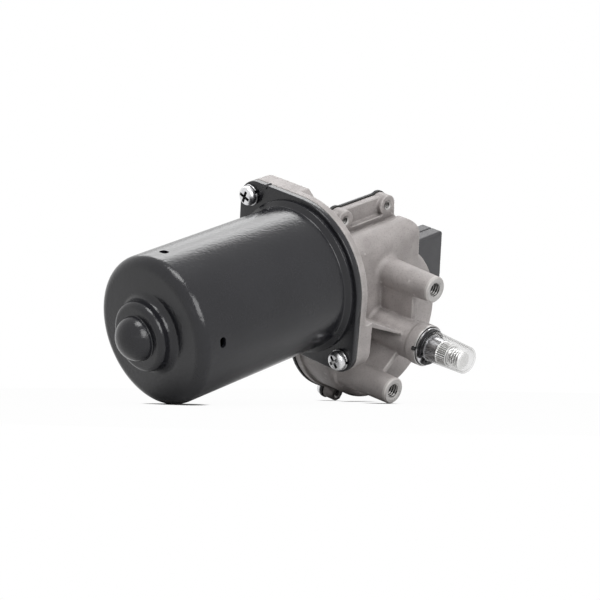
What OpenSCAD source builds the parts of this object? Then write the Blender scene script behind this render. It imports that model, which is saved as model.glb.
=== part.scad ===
// Windscreen wiper motor: a two-speed permanent magnet motor that turns a crank shaft
// through a worm and a moulded gear wheel, in one die-cast housing.
//
// It is drawn square to itself and laid down at the end. The motor lies along X with its
// domed end towards -X, the face where can and housing meet is x = 0, the output shaft
// points towards -Y, and the worm lies over the gear wheel. Heights along the output
// shaft are given as a distance out, towards the crank, so out = -y.

/* [Motor can] */
// Outer diameter of the drawn steel can
can_d = 62; // [58:0.5:66]
// Length of the can from its flange to its flat end
can_len = 85.3; // [82:0.1:92]
// Sheet thickness of the can
can_wall = 1.8; // [1.2:0.1:2.2]
// Outer radius of the can's end corner
can_corner_r = 5; // [3:0.5:7]
// Diameter of the bearing nose on the can's end
nose_d = 29; // [26:0.5:32]
// How far the bearing nose stands out of the can's end
nose_len = 6.7; // [5:0.1:8]
// Diameter of the dome on the bearing nose
dome_d = 18.5; // [16:0.5:20]
// How far the dome stands out of the bearing nose
dome_len = 8; // [6:0.5:9]
// Length of a drain slot, around the can
slot_len = 4.4; // [3.4:0.2:8]
// Width of a drain slot, along the can
slot_w = 3; // [2:0.1:3.2]
// Distance of the drain slots from the can's flat end
slot_inset = 10.8; // [9:0.2:14]

/* [Motor flange] */
// Sheet thickness of the can's flange
flange_t = 3; // [2:0.1:4]
// Radius of the round part of the flange
flange_r = 35.5; // [34.5:0.1:38]
// Distance between the two flange screws
ear_pitch = 79.8; // [78:0.2:84]
// Radius of the flange's rounding around a screw
ear_r = 9.5; // [8:0.1:10]
// Width of the flange outside a screw
ear_edge = 5.4; // [5.2:0.1:7]
// Angle of the screws' line from the level
ear_angle = 46.8; // [40:0.1:52]
// Thickness of the housing's flange
mount_t = 3.4; // [3:0.1:6]
// Thickness of the housing under the upper screw
upper_pad_t = 9; // [8:0.5:13]
// Thickness of the housing under the lower screw
lower_pad_t = 8; // [7:0.5:10]

/* [Flange screws] */
// Thread diameter of the flange screws
screw_d = 5; // [4:0.5:5.5]
// Diameter of the flange screws' heads
screw_head_d = 8.4; // [8:0.1:9]
// Height of the flange screws' heads
screw_head_h = 3; // [2.4:0.1:3.6]
// Length of the flange screws under the head
screw_len = 10; // [9:0.5:12]
// Thickness of the washer under a flange screw
washer_t = 1.2; // [0.8:0.1:1.6]
// Diameter of the washer under a flange screw
washer_d = 9.4; // [9:0.1:10.5]

/* [Magnets and armature] */
// Thickness of a magnet
magnet_t = 5; // [4:0.5:6]
// Length of a magnet
magnet_len = 44; // [38:1:48]
// Arc that a magnet covers
magnet_arc = 68; // [60:1:76]
// Gap between magnets and armature
air_gap = 0.8; // [0.5:0.1:1.2]
// Length of the armature's laminated core
core_len = 38; // [34:1:44]
// Slots in the armature's core
core_slots = 12; // [10:1:14]
// Diameter of the armature shaft
rotor_d = 8; // [7:0.5:8.5]
// Diameter of the commutator
commutator_d = 22; // [18:0.5:24]
// Length of the commutator
commutator_len = 15; // [12:0.5:17]

/* [Brush gear] */
// Thickness of the brush card
card_t = 2.5; // [2:0.1:3]
// Width of a brush, around the commutator
brush_w = 5; // [4:0.5:6]
// Height of a brush, along the commutator
brush_h = 7; // [5:0.5:8]
// Length of a brush, away from the commutator
brush_len = 8.5; // [7:0.5:9.5]

/* [Worm gear] */
// Axial module of the worm
gear_module = 1; // [0.9:0.05:1.1]
// Teeth of the gear wheel
wheel_teeth = 53; // [49:1:57]
// Pitch diameter of the worm
worm_pitch_d = 9.4; // [9:0.1:10]
// Length of the worm's thread
worm_len = 26; // [20:1:28]
// Width of the gear wheel's toothed rim
wheel_w = 9; // [8:0.5:10]
// Play between worm and wheel flanks
backlash = 0.36; // [0.3:0.02:0.44]

/* [Gear housing] */
// Distance of the output shaft from the motor flange
shaft_x = 37; // [36:0.5:39]
// Wall of the gear case
case_wall = 3.2; // [2.6:0.1:4]
// Room between the gear wheel and the case wall
wheel_room = 4.3; // [4:0.1:6]
// How far out the flat front of the case lies
case_front = 12.5; // [11.5:0.1:14]
// How far back the cover's seat lies
case_back = 7.5; // [7:0.1:9]
// Thickness of the rim that carries the cover
rim_t = 3.5; // [2.5:0.1:4.5]
// How far the rim stands out of the case wall
rim_edge = 1.3; // [0.8:0.1:2.5]
// How far the gear case's centre lies past the output shaft
case_shift = 2.6; // [0:0.1:2.8]
// How far the gear case's centre lies above the output shaft
case_lift = 0.3; // [0:0.1:1.6]
// Height of the tunnel's crest above the worm
tunnel_r = 12; // [11.5:0.1:13]
// How far the tunnel reaches past the output shaft
tunnel_reach = 24.8; // [22:0.1:28]
// Height of the rim's straight top edge above the worm
rim_top = 20; // [18:0.5:22]
// Radius of an upper cover screw's lug
lug_r = 4.6; // [3.8:0.1:5]
// How far the lugs stand out from the rim
lug_step = 2.6; // [2:0.1:3.5]
// Radius of a lower cover screw's lug
lower_lug_r = 3.5; // [3.2:0.1:4.5]

/* [Output boss] */
// How far out the output boss ends
boss_out = 41.2; // [38:0.1:44]
// Diameter of the output boss at its end
boss_d = 18.4; // [17.8:0.1:20]
// Diameter of the output boss where it leaves the case
boss_root_d = 16.8; // [16.6:0.1:18]
// Length of the wider collar at the boss's end
collar_len = 5; // [3:0.5:8]
// Diameter of the output shaft
shaft_d = 12; // [11:0.5:12.5]
// Wall of a shaft bush
bush_wall = 1.2; // [1:0.1:1.4]
// Length of a shaft bush
bush_len = 12; // [8:0.5:14]

/* [Output shaft end] */
// Where the crank's seat starts, past the boss
seat_start = 4; // [3.8:0.1:6]
// Length of the crank's tapered seat
seat_len = 5.6; // [5:0.1:7]
// Diameter of the tapered seat at its wide end
seat_d = 10.8; // [10.2:0.1:10.9]
// Diameter of the tapered seat at its narrow end
seat_tip_d = 9.8; // [9.3:0.1:10]
// Diameter of the thread for the crank's nut
thread_d = 8; // [7:0.5:8]
// Length of the thread for the crank's nut
thread_len = 9.2; // [8:0.1:12]

/* [Mounting posts] */
// Radius of the posts' circle around the output shaft
post_circle_r = 25; // [24:0.1:26]
// Angle of the upper post around the output shaft
upper_post_angle = 80; // [76:1:84]
// Angle of the lower post around the output shaft
lower_post_angle = 217.5; // [214:0.5:221]
// How far out the posts end
post_out = 40.2; // [36:0.1:42]
// Diameter of a post at its end
post_d = 11.6; // [11:0.1:12.6]
// Widening of a post towards the case, on its radius
post_draft = 0.7; // [0.2:0.1:1.2]
// Diameter of a post's flat end
post_tip_d = 10.4; // [9.8:0.1:10.8]
// Bore of the posts' screw thread
post_bore_d = 5; // [4:0.1:6]
// Depth of the posts' screw thread
post_bore_len = 20; // [14:1:24]
// Thickness of the webs between posts and boss
web_t = 2.6; // [2:0.1:3.5]
// How far out the webs reach
web_out = 30.2; // [24:0.1:32]

/* [Cover] */
// Sheet thickness of the pressed cover
cover_t = 1.2; // [0.8:0.1:1.6]
// Thickness of the cover's seal
gasket_t = 0.5; // [0.3:0.1:0.8]
// How far cover and seal stand out over the rim
cover_lip = 0.5; // [0.2:0.1:0.9]
// How far the cover's pan stands back
pan_depth = 5; // [4.5:0.1:7]
// Diameter of the cover screws' thread
cover_screw_d = 3.4; // [3:0.1:4]

/* [Connector] */
// Width of the connector, along the output shaft
plug_w = 11.3; // [10.5:0.1:13]
// Height of the connector
plug_h = 27.5; // [24:0.5:30]
// How far the connector stands out from the case's rim
plug_out = 15.1; // [13:0.1:18]
// Height of the connector's top against the worm
plug_top = -5; // [-9:0.1:-4]
// Wall of the connector
plug_wall = 1.5; // [1.2:0.1:2]
// How far the mouth's floor stands off the case's rim
plug_floor = 3.1; // [2.8:0.1:4]
// Contact blades in the connector
plug_pins = 5; // [4:1:6]
// How far the contact blades stand out of the mouth's floor
blade_len = 5.5; // [4:0.5:6]

/* [Shaft cap] */
// Wall of the clear cap over the shaft's end
cap_wall = 0.5; // [0.4:0.05:0.7]
// How far the loose cap sits to one side of the shaft
cap_shift = 0.7; // [0:0.05:1]

/* [Resting place] */
// Roll of the motor as it lies on a table
rest_roll = 19.2; // [0:0.01:40]
// Pitch of the motor as it lies on a table
rest_pitch = 17.86; // [0:0.01:40]

/* [Hidden] */
// Clearances between pieces
run_fit = 0.04;
seat_gap = 0.06;
overlap = 0.01;

// The stake in the flange's edge
stake_r = 1.1;
stake_step = 0.4;
stake_back = 5.5;

// Worked out from the sizes above
can_r = can_d / 2;
can_bore_r = can_r - can_wall;
magnet_r = can_bore_r - seat_gap;
core_r = magnet_r - magnet_t - air_gap;
rotor_r = rotor_d / 2;
ear_reach = ear_pitch / 2;
ear_centre = ear_reach + ear_edge - ear_r;
nose_x = -can_len - nose_len;
dome_x = nose_x - dome_len;
nose_bore_r = nose_d / 2 - can_wall;
dome_bore_r = dome_d / 2 - can_wall;

gear_pitch = PI * gear_module;
wheel_pitch_r = gear_module * wheel_teeth / 2;
worm_pitch_r = worm_pitch_d / 2;
worm_drop = wheel_pitch_r + worm_pitch_r;
worm_lead_angle = atan(gear_pitch / (2 * PI * worm_pitch_r));
worm_tip_r = worm_pitch_r + gear_module;
worm_root_r = worm_pitch_r - 1.2 * gear_module;
wheel_tip_r = wheel_pitch_r + gear_module;
wheel_root_r = wheel_pitch_r - 1.2 * gear_module;

case_centre = [shaft_x + case_shift, -worm_drop + case_lift];
case_r = wheel_tip_r + wheel_room + case_wall;
cavity_r = case_r - case_wall;
rim_r = case_r + rim_edge;
cavity_front = case_front - case_wall;
rim_start = 9.6;
rim_corner = 8;
end_bush_len = 5;
end_bush_r = 6.5;
tunnel_end = shaft_x + tunnel_reach;
tunnel_bore_r = worm_tip_r + 1.4;
tunnel_bore_end = tunnel_end - case_wall - end_bush_len;
window_start = 12;
boss_r = boss_d / 2;
shaft_r = shaft_d / 2;
bush_r = shaft_r + run_fit + bush_wall;
thread_relief = 1.2;
shaft_out = boss_out + seat_start + seat_len + thread_relief + thread_len;
shaft_in = case_back - 1.5;
seat_out = boss_out + seat_start;
chamfer = 0.6;

post_r = post_d / 2;
upper_post = [
    shaft_x + post_circle_r * cos(upper_post_angle),
    -worm_drop + post_circle_r * sin(upper_post_angle)
];
lower_post = [
    shaft_x + post_circle_r * cos(lower_post_angle),
    -worm_drop + post_circle_r * sin(lower_post_angle)
];
web_root = [mount_t, -12];
pad_end = 4.2;
pad_lean = 4.6;
upper_fillet = 2.4;
lower_fillet = 1.2;
upper_web_x = shaft_x + 1.9;

// Cover screws stand on the rim: two at the top corners and two round the gear wheel
lug_ring_r = rim_r + 1.45;
lug_inset = 6.4;
lug_span = 26.9;
lug_drop = 3.9;
lugs = [
    [tunnel_end - lug_inset, rim_top - lug_drop],
    [tunnel_end - lug_inset - lug_span, rim_top - lug_drop],
    case_centre + lug_ring_r * [cos(250.8), sin(250.8)],
    case_centre + lug_ring_r * [cos(320), sin(320)]
];
lug_radii = [lug_r, lug_r, lower_lug_r, lower_lug_r];
lug_front = rim_t - case_back + lug_step;
cover_y = case_back + gasket_t;
throat_w = 3.2;
lug_chamfer = 0.6;
plug_y = cover_y + cover_t / 2 + 1.7 - plug_w;
plug_x = case_centre[0] + rim_r + plug_out;
plug_depth = plug_out - plug_floor;
plug_corner = 0.5;
plug_end_r = 1.5;
plug_start = case_centre[0] + case_r - 6;
plug_groove = 0.4;
groove_y = plug_y + plug_w / 2;
throat_start = case_centre[0] + cavity_r - 3;
throat_y = case_back - rim_t - throat_w - 0.6;
throat_z = plug_top - plug_h + 6;
throat_h = 14;

armature_end = tunnel_end - case_wall;
journal_r = worm_root_r - 0.5;
commutator_x = -3.5 - commutator_len;
turn_gap = 8.5;
core_x = commutator_x - turn_gap - core_len;
card_x = commutator_x - 1;
brush_turns = [0, 120, 240];
spring_len = can_bore_r - commutator_d / 2 - 2 - 0.3 - brush_len - 1.3;
bearing_start = 0.4;
bearing_len = 7;
bearing_r = 8;
bearing_neck_r = bearing_r + 2.8;
worm_start = shaft_x - worm_len / 2;

seal_r = boss_r - 0.6;
seal_len = 2.4;
seal_ear_r = 0.6;
seal_ear_turn = 170;
plate_t = 2;
clip_t = 1;
clip_out = boss_out + 1.1;
clip_groove_r = shaft_r - 0.3;

nose_bush_r = 8;
ball_r = 3;
ball_seat = dome_len - can_wall - ball_r - 0.1;
rotor_start = nose_x - ball_seat + ball_r + 0.3;

pan_r = cavity_r - 2;
pan_floor = cover_y + pan_depth - cover_t;
cover_screw_len = 6.4;
park_tracks = [9, 13, 17];
carrier_t = 2.6;
foot_z = -worm_drop + 11;
leaf_y = pan_floor - 2;
disc_t = 0.5;
wheel_rim_t = 3.5;
hub_wall = 4;
plate_inset = 6;
slot_depth = 6;
slot_r = 2.4;
slot_mouth = 1.8;
disc_back = wheel_w / 2 + 0.1 + disc_t;

cap_start = clip_out + clip_t + 0.5;
cap_end = shaft_out + 1.5;
cap_lean = 57.7;
cap_mouth_r = seat_d / 2 + cap_shift + 0.15;
cap_end_r = thread_d / 2 + cap_shift + 0.7;

can_black = [0.10, 0.10, 0.11];
cast_grey = [0.62, 0.60, 0.58];
zinc = [0.80, 0.81, 0.83];
steel = [0.62, 0.63, 0.65];
bronze = [0.66, 0.50, 0.28];
copper = [0.75, 0.42, 0.25];
rubber_black = [0.06, 0.06, 0.06];
moulded_grey = [0.30, 0.30, 0.31];
moulded_cream = [0.86, 0.83, 0.74];
magnet_grey = [0.24, 0.24, 0.26];
clear = [0.88, 0.91, 0.93, 0.35];

$fn = 64;

// Lays the motor down on its can, one cover lug and the lower post, and puts the origin on
// the output shaft's axis where the crank's seat starts
module at_rest()
    rotate([rest_roll, -rest_pitch, 0])
        translate([-shaft_x, seat_out, worm_drop])
            children();

// Spins a profile of [radius, x] about the motor's axis
module turned_x()
    rotate([0, 90, 0])
        rotate_extrude()
            children();

// Spins a profile of [radius, out] about the output shaft's axis
module turned_out()
    translate([shaft_x, 0, -worm_drop])
        rotate([90, 0, 0])
            rotate_extrude()
                children();

// Spins a profile of [radius, out] about the middle of the gear case
module turned_case()
    translate([case_centre[0], 0, case_centre[1]])
        rotate([90, 0, 0])
            rotate_extrude($fn = 120)
                children();

// Extrudes a profile of [x, z] from one distance out to another
module out_between(low, high)
    translate([0, -low, 0])
        rotate([90, 0, 0])
            linear_extrude(high - low)
                children();

// Extrudes a profile of [y, z] along the motor's axis
module along_x(low, high)
    translate([low, 0, 0])
        rotate([90, 0, 90])
            linear_extrude(high - low)
                children();

// A ring of one section, as [inner radius, outer radius, low, high]
module ring_profile(inner, outer, low, high)
    translate([inner, low])
        square([outer - inner, high - low]);

// A box in a profile, given by two corners
module box_profile(low, high)
    translate(low)
        square(high - low);

// Puts something at both flange screws
module at_ears()
    for (side = [1, -1])
        rotate([side > 0 ? ear_angle : ear_angle + 180, 0, 0])
            translate([0, ear_reach, 0])
                children();

// The flange's outline: a round plate drawn out to two screw ears, with straight flanks
function tangent_points(turn) = [
    for (flank = [1, -1])
        let (lean = acos((flange_r - ear_r) / ear_centre))
            each [
                flange_r * [cos(turn + flank * lean), sin(turn + flank * lean)],
                ear_centre * [cos(turn), sin(turn)]
                    + ear_r * [cos(turn + flank * lean), sin(turn + flank * lean)]
            ]
];

module flange_outline() {
    circle(flange_r, $fn = 120);
    for (turn = [ear_angle, ear_angle + 180]) {
        corners = tangent_points(turn);
        translate(ear_centre * [cos(turn), sin(turn)])
            circle(ear_r);
        polygon([[0, 0], corners[0], corners[1], corners[3], corners[2]]);
    }
}

// Motor side

// The can's section, from the flange's mouth to the dome
module can_section(shrink) {
    corner = max(can_corner_r - shrink, 0.5);
    outer = can_r - shrink;
    nose = nose_d / 2 - shrink;
    dome = dome_d / 2 - shrink;
    end = -can_len + shrink;
    nose_end = nose_x + shrink;
    bend = 2.5;
    arc_steps = 6;
    polygon([
        [0, 0],
        [outer, 0],
        for (i = [0:arc_steps])
            let (turn = 90 * i / arc_steps)
                [outer - corner + corner * cos(turn), end + corner - corner * sin(turn)],
        for (i = [0:arc_steps])
            let (turn = 90 * i / arc_steps)
                [nose + bend - bend * sin(turn), end - bend + bend * cos(turn)],
        for (i = [0:arc_steps])
            let (turn = 90 * i / arc_steps)
                [nose - bend + bend * cos(turn), nose_end + bend - bend * sin(turn)],
        for (i = [0:2 * arc_steps])
            let (turn = 90 * i / (2 * arc_steps))
                [dome * cos(turn), nose_end - dome_len * sin(turn)]
    ]);
}

module motor_can() color(can_black) at_rest() {
    difference() {
        union() {
            turned_x($fn = 120) can_section(0);
            along_x(-flange_t, 0) flange_outline();
            flange_stake();
            turned_x($fn = 120)
                polygon([
                    [can_r - 1, -flange_t], [can_r + 2.4, -flange_t],
                    [can_r + 2, -flange_t - 1.2], [can_r, -flange_t - 2.4], [can_r - 1, -flange_t - 2.4]
                ]);
        }
        turned_x($fn = 120) can_section(can_wall);
        turned_x() ring_profile(0, can_bore_r, -2 * can_wall, 1);
        at_ears()
            rotate([0, 90, 0])
                cylinder(h = 4 * flange_t, d = screw_d + 0.5, center = true);
        for (turn = [84:90:354])
            rotate([turn, 0, 0])
                translate([-can_len + slot_inset, can_r, 0])
                    rotate([90, 0, 0])
                        slot_cut();
    }
}

// A small stake in the flange's edge, beside the upper ear
module flange_stake() {
    corners = tangent_points(ear_angle);
    flank = (corners[0] - corners[1]) / norm(corners[0] - corners[1]);
    inward = [-flank[1], flank[0]];
    along_x(-flange_t - stake_step, 0)
        translate(corners[1] + stake_back * flank + stake_r / 2 * inward)
            circle(stake_r, $fn = 24);
}

module slot_cut() {
    half = (slot_len - slot_w) / 2;
    linear_extrude(3 * can_wall, center = true) {
        for (end = [half, -half])
            translate([0, end])
                circle(d = slot_w, $fn = 24);
        square([slot_w, 2 * half], center = true);
    }
}

module magnets() color(magnet_grey) at_rest() {
    middle = core_x + core_len / 2;
    for (turn = [45:90:315])
        rotate([turn, 0, 0])
            translate([middle - magnet_len / 2, 0, 0])
                rotate([-magnet_arc / 2, 0, 0])
                    rotate([90, 0, 90])
                        linear_extrude(magnet_len)
                            arc_band(magnet_r - magnet_t, magnet_r, magnet_arc);
}

// A band between two radii, from the level upwards through an arc under 180 degrees
module arc_band(inner, outer, arc)
    difference() {
        intersection() {
            circle(outer, $fn = 120);
            polygon([[0, 0], [2 * outer, 0], 2 * outer * [cos(arc / 2), sin(arc / 2)],
                2 * outer * [cos(arc), sin(arc)]]);
        }
        circle(inner, $fn = 120);
    }

module nose_bush() color(bronze) at_rest()
    turned_x()
        ring_profile(rotor_r + run_fit, nose_bush_r, nose_x + can_wall + seat_gap, -can_len + 1);

// The star washer that holds the bush in the can's nose
module bush_retainer() color(steel) at_rest()
    turned_x()
        ring_profile(nose_bush_r + seat_gap, nose_bore_r - seat_gap, -can_len - 2.2, -can_len - 1.2);

module thrust_ball() color(zinc) at_rest()
    translate([nose_x - ball_seat, 0, 0])
        sphere(ball_r, $fn = 32);

module flange_screws() color(zinc) at_rest()
    at_ears()
        translate([-flange_t - washer_t - seat_gap, 0, 0])
            pan_screw(screw_d, screw_head_d, screw_head_h, screw_len);

// A pan-head screw whose head's seat is x = 0, with its shank towards +X
module pan_screw(d, head_d, head_h, len) {
    crown = 1;
    rotate([0, 90, 0]) {
        rotate_extrude()
            polygon([
                [0, -head_h], [head_d / 2 - 1.6, -head_h], [head_d / 2 - 0.5, -head_h + crown / 2],
                [head_d / 2, -head_h + 1.6], [head_d / 2, 0], [d / 2 - 0.1, 0],
                [d / 2 - 0.1, len - 1], [d / 2 - 1, len], [0, len]
            ]);
    }
}

module flange_washers() color(zinc) at_rest()
    at_ears()
        turned_x()
            ring_profile(screw_d / 2 + 0.1, washer_d / 2, -flange_t - washer_t - seat_gap / 2, -flange_t - seat_gap / 2);

// Housing

// The rim's outline: the bowl's circle, the flat top edge and the lugs of the cover screws
module rim_outline(inset) {
    corner = rim_corner - inset;
    flange_gap = inset == 0 ? -1 : 0.3;
    side = tunnel_end + rim_edge - inset;
    top = rim_top - inset;
    difference() {
        union() {
            translate(case_centre)
                circle(rim_r - inset, $fn = 120);
            box_profile([rim_start + inset, case_centre[1]], [side - corner, top]);
            box_profile([rim_start + inset, case_centre[1]], [side, top - corner]);
            translate([side - corner, top - corner])
                circle(corner);
            for (i = [0:3])
                translate(lugs[i])
                    circle(lug_radii[i] - inset);
            for (i = [2, 3])
                lug_neck(lugs[i], lug_radii[i] - inset);
        }
        box_profile([-2 * case_r, -3 * case_r], [mount_t + flange_gap, rim_top + lug_r]);
    }
}

// Joins a lug on the bowl's edge to the rim
module lug_neck(lug, half_w) {
    toward = case_centre - lug;
    translate(lug)
        rotate(atan2(toward[1], toward[0]))
            translate([0, -half_w])
                square([lug_r + 1, 2 * half_w]);
}

// The opening at the case's back: the wheel's round room and the window to the worm
module case_mouth() {
    translate(case_centre)
        circle(cavity_r, $fn = 120);
    worm_window();
}

module worm_window()
    box_profile([window_start, case_centre[1] / 2], [tunnel_bore_end, tunnel_bore_r]);

// The tunnel's outside: a rounded bar along the worm, with a ledge between it and the rim
module worm_tunnel() {
    round_r = 7.5;
    end_r = 5;
    foot = case_back - rim_t;
    crest_y = -case_front + round_r;
    crest_drop = sqrt(round_r * round_r - (crest_y + lug_front) * (crest_y + lug_front));
    intersection() {
        along_x(mount_t - overlap, tunnel_end)
            union() {
                box_profile([-lug_front, -worm_drop / 2], [foot, tunnel_r + 0.3]);
                box_profile([crest_y, -worm_drop / 2], [foot, tunnel_r - round_r + crest_drop]);
                box_profile([-case_front, -worm_drop / 2], [foot, tunnel_r - round_r]);
                translate([crest_y, tunnel_r - round_r])
                    circle(round_r, $fn = 96);
            }
        out_between(-case_back, case_front + 1)
            union() {
                box_profile([0, -worm_drop], [tunnel_end - end_r, 2 * tunnel_r]);
                box_profile([0, -worm_drop], [tunnel_end, tunnel_r - end_r]);
                translate([tunnel_end - end_r, tunnel_r - end_r])
                    circle(end_r);
            }
        out_between(-case_back, case_front)
            box_profile([0, -worm_drop], [tunnel_end, 2 * tunnel_r]);
    }
}

// The bowl's outside: a drum with a bevelled and rounded front edge
module bowl() {
    edge = 2.2;
    arc_steps = 4;
    turned_case()
        polygon([
            [0, -case_back],
            [case_r, -case_back],
            for (i = [0:arc_steps])
                let (turn = 90 * i / arc_steps)
                    [case_r - edge + edge * cos(turn), case_front - edge + edge * sin(turn)],
            [0, case_front]
        ]);
}

module boss() {
    fillet = 1.2;
    root_r = boss_root_d / 2;
    turned_out()
        polygon([
            [0, 0], [root_r + fillet, case_front - 1], [root_r + fillet, case_front],
            [root_r + 0.4, case_front + 0.4], [root_r, case_front + fillet],
            [root_r + 0.2, boss_out - collar_len - 0.8], [boss_r, boss_out - collar_len],
            [boss_r, boss_out - 0.3], [boss_r - 0.3, boss_out], [0, boss_out]
        ]);
}

// A screw post: a tapered column with a bevelled end, and a fillet where it leaves the case
module post(place, fillet) {
    root_r = post_r + post_draft;
    arc_steps = 3;
    translate([place[0], 0, place[1]])
        rotate([90, 0, 0])
            rotate_extrude()
                polygon([
                    [0, -1], [root_r + fillet, -1],
                    for (i = [0:arc_steps])
                        let (turn = 90 * i / arc_steps)
                            [root_r + fillet - fillet * sin(turn), case_front + fillet - fillet * cos(turn)],
                    [post_r, post_out - chamfer], [post_tip_d / 2, post_out], [0, post_out]
                ]);
}

// The screw thread in a post, with its countersink
module post_bore(place) {
    sink = 1.2;
    translate([place[0], 0, place[1]])
        rotate([90, 0, 0])
            rotate_extrude()
                polygon([
                    [0, post_out - post_bore_len - 1.5], [post_bore_d / 2, post_out - post_bore_len],
                    [post_bore_d / 2, post_out - sink], [post_bore_d / 2 + sink, post_out],
                    [post_bore_d / 2 + sink, post_out + 1], [0, post_out + 1]
                ]);
}

// A web between two places in the front view, standing from the case's front
module web(from, to, reach) {
    along = to - from;
    translate([from[0], 0, from[1]])
        rotate([0, -atan2(along[1], along[0]), 0])
            translate([0, -reach, -web_t / 2])
                cube([norm(along), reach, web_t]);
}

// The housing's motor flange, with a thicker pad behind each screw and the bearing's neck
module housing_flange() {
    along_x(0, mount_t)
        flange_outline();
    intersection() {
        along_x(0, upper_pad_t)
            intersection() {
                flange_outline();
                polygon([
                    [pad_end, flange_r], [pad_end - pad_lean, flange_r - pad_lean],
                    [pad_end - pad_lean, 0], [ear_reach, 0], [ear_reach, ear_reach], [pad_end, ear_reach]
                ]);
            }
        out_between(-ear_reach, pad_lean)
            polygon([
                [0, 12], [mount_t + 2.4, 12], [upper_pad_t, 17],
                [upper_pad_t - 0.8, ear_reach], [0, ear_reach]
            ]);
    }
    intersection() {
        along_x(0, lower_pad_t)
            flange_outline();
        along_x(0, lower_pad_t)
            box_profile([-ear_reach, -ear_reach], [-20, web_root[1] - web_t / 2]);
    }
    turned_x()
        ring_profile(bearing_r - 1, bearing_neck_r, 0, bearing_start + bearing_len + 1.6);
}

module gear_housing() color(cast_grey) at_rest()
    difference() {
        union() {
            housing_flange();
            worm_tunnel();
            intersection() {
                bowl();
                translate([0, -2 * case_r, -3 * case_r])
                    cube([3 * case_r, 4 * case_r, 4 * case_r]);
            }
            out_between(-case_back, rim_t - case_back)
                rim_outline(0);
            for (i = [0:3])
                translate([lugs[i][0], 0, lugs[i][1]])
                    rotate([90, 0, 0])
                        translate([0, 0, -case_back])
                            cylinder(h = case_back + lug_front, r = lug_radii[i]);
            boss();
            post(upper_post, upper_fillet);
            post(lower_post, lower_fillet);
            web([shaft_x, -worm_drop], lower_post, web_out);
            web([upper_web_x, -worm_drop + boss_r / 2], [upper_web_x, upper_post[1]], web_out + 0.6);
            web(web_root, [shaft_x, -worm_drop], web_out + 1.6);
        }
        case_hollow();
        post_bore(upper_post);
        post_bore(lower_post);
        plug_throat(seat_gap);
        at_ears()
            rotate([0, 90, 0])
                cylinder(h = 2 * (screw_len - flange_t), d = screw_d, center = true);
        for (lug = lugs)
            translate([lug[0], -lug_front, lug[1]])
                rotate([90, 0, 0]) {
                    cylinder(h = 3 * case_back, d = cover_screw_d, center = true);
                    translate([0, 0, -lug_chamfer])
                        cylinder(h = 2 * lug_chamfer, d1 = cover_screw_d, d2 = cover_screw_d + 4 * lug_chamfer);
                }
    }

// All that is hollow inside the housing
module case_hollow() {
    turned_case()
        ring_profile(0, cavity_r, -case_back - 1, cavity_front);
    turned_out()
        union() {
            ring_profile(0, bush_r, 0, boss_out + 1);
            ring_profile(0, seal_r, boss_out - seal_len, boss_out + 1);
        }
    turned_x()
        union() {
            ring_profile(0, bearing_r, -1, bearing_start + bearing_len + 0.1);
            ring_profile(0, tunnel_bore_r, bearing_len, tunnel_bore_end);
            ring_profile(0, end_bush_r, tunnel_bore_end - 1, armature_end);
        }
    out_between(-case_back - 1, 0)
        worm_window();
    // The notch in the boss's end for the seal's ear
    translate([shaft_x, -boss_out, -worm_drop])
        rotate([0, -seal_ear_turn, 0])
            translate([seal_r - 1, -0.1, -seal_ear_r - 0.3])
                cube([3, 2 * seal_ear_r + 0.5, 2 * seal_ear_r + 0.6]);
}

module drive_end_bearing() color(zinc) at_rest()
    turned_x()
        ring_profile(rotor_r + run_fit, bearing_r - seat_gap, bearing_start, bearing_start + bearing_len);

module worm_end_bush() color(bronze) at_rest()
    turned_x()
        ring_profile(journal_r + run_fit, end_bush_r - seat_gap, tunnel_bore_end, armature_end - seat_gap);

module rear_shaft_bush() color(bronze) at_rest()
    turned_out()
        ring_profile(shaft_r + run_fit, bush_r - seat_gap, cavity_front, cavity_front + bush_len);

module front_shaft_bush() color(bronze) at_rest()
    turned_out()
        ring_profile(shaft_r + run_fit, bush_r - seat_gap, boss_out - seal_len - 0.2 - bush_len, boss_out - seal_len - 0.2);

module shaft_seal() color(rubber_black) at_rest() {
    turned_out()
        polygon([
            [shaft_r + 0.05, boss_out - seal_len + 0.6], [shaft_r + 1, boss_out - seal_len + seat_gap],
            [seal_r - seat_gap, boss_out - seal_len + seat_gap], [seal_r - seat_gap, boss_out],
            [shaft_r + 0.4, boss_out], [shaft_r + 0.05, boss_out - seal_len + 1.1]
        ]);
    translate([shaft_x, seal_ear_r + 0.05 - boss_out, -worm_drop])
        rotate([0, 90 - seal_ear_turn, 0])
            translate([0, 0, seal_r - 1.2])
                cylinder(h = boss_r - seal_r + 1.9, r = seal_ear_r, $fn = 24);
}

// Brush gear

module brush_card() color(moulded_grey) at_rest() {
    difference() {
        turned_x() ring_profile(commutator_d / 2 + 1.5, can_bore_r - 0.2, card_x, card_x + card_t);
        for (turn = brush_turns)
            rotate([turn, 0, 0])
                translate([card_x + card_t / 2, commutator_d / 2 + brush_len / 2, 0])
                    cube([2 * card_t, 2, brush_w / 2], center = true);
    }
    for (turn = brush_turns)
        rotate([turn, 0, 0])
            translate([card_x + card_t - overlap, commutator_d / 2 + 2, 0])
                rotate([90, 0, 90])
                    linear_extrude(brush_h + 2.4)
                        difference() {
                            translate([0, -brush_w / 2 - 1.3])
                                square([can_bore_r - commutator_d / 2 - 3, brush_w + 2.6]);
                            translate([-1, -brush_w / 2 - 0.1])
                                square([can_bore_r - commutator_d / 2 - 3, brush_w + 0.2]);
                        }
}

module brushes() color(magnet_grey) at_rest()
    for (turn = brush_turns)
        rotate([turn, 0, 0])
            translate([card_x + card_t + 0.1, commutator_d / 2 + 0.3, -brush_w / 2])
                cube([brush_h, brush_len, brush_w]);

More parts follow.
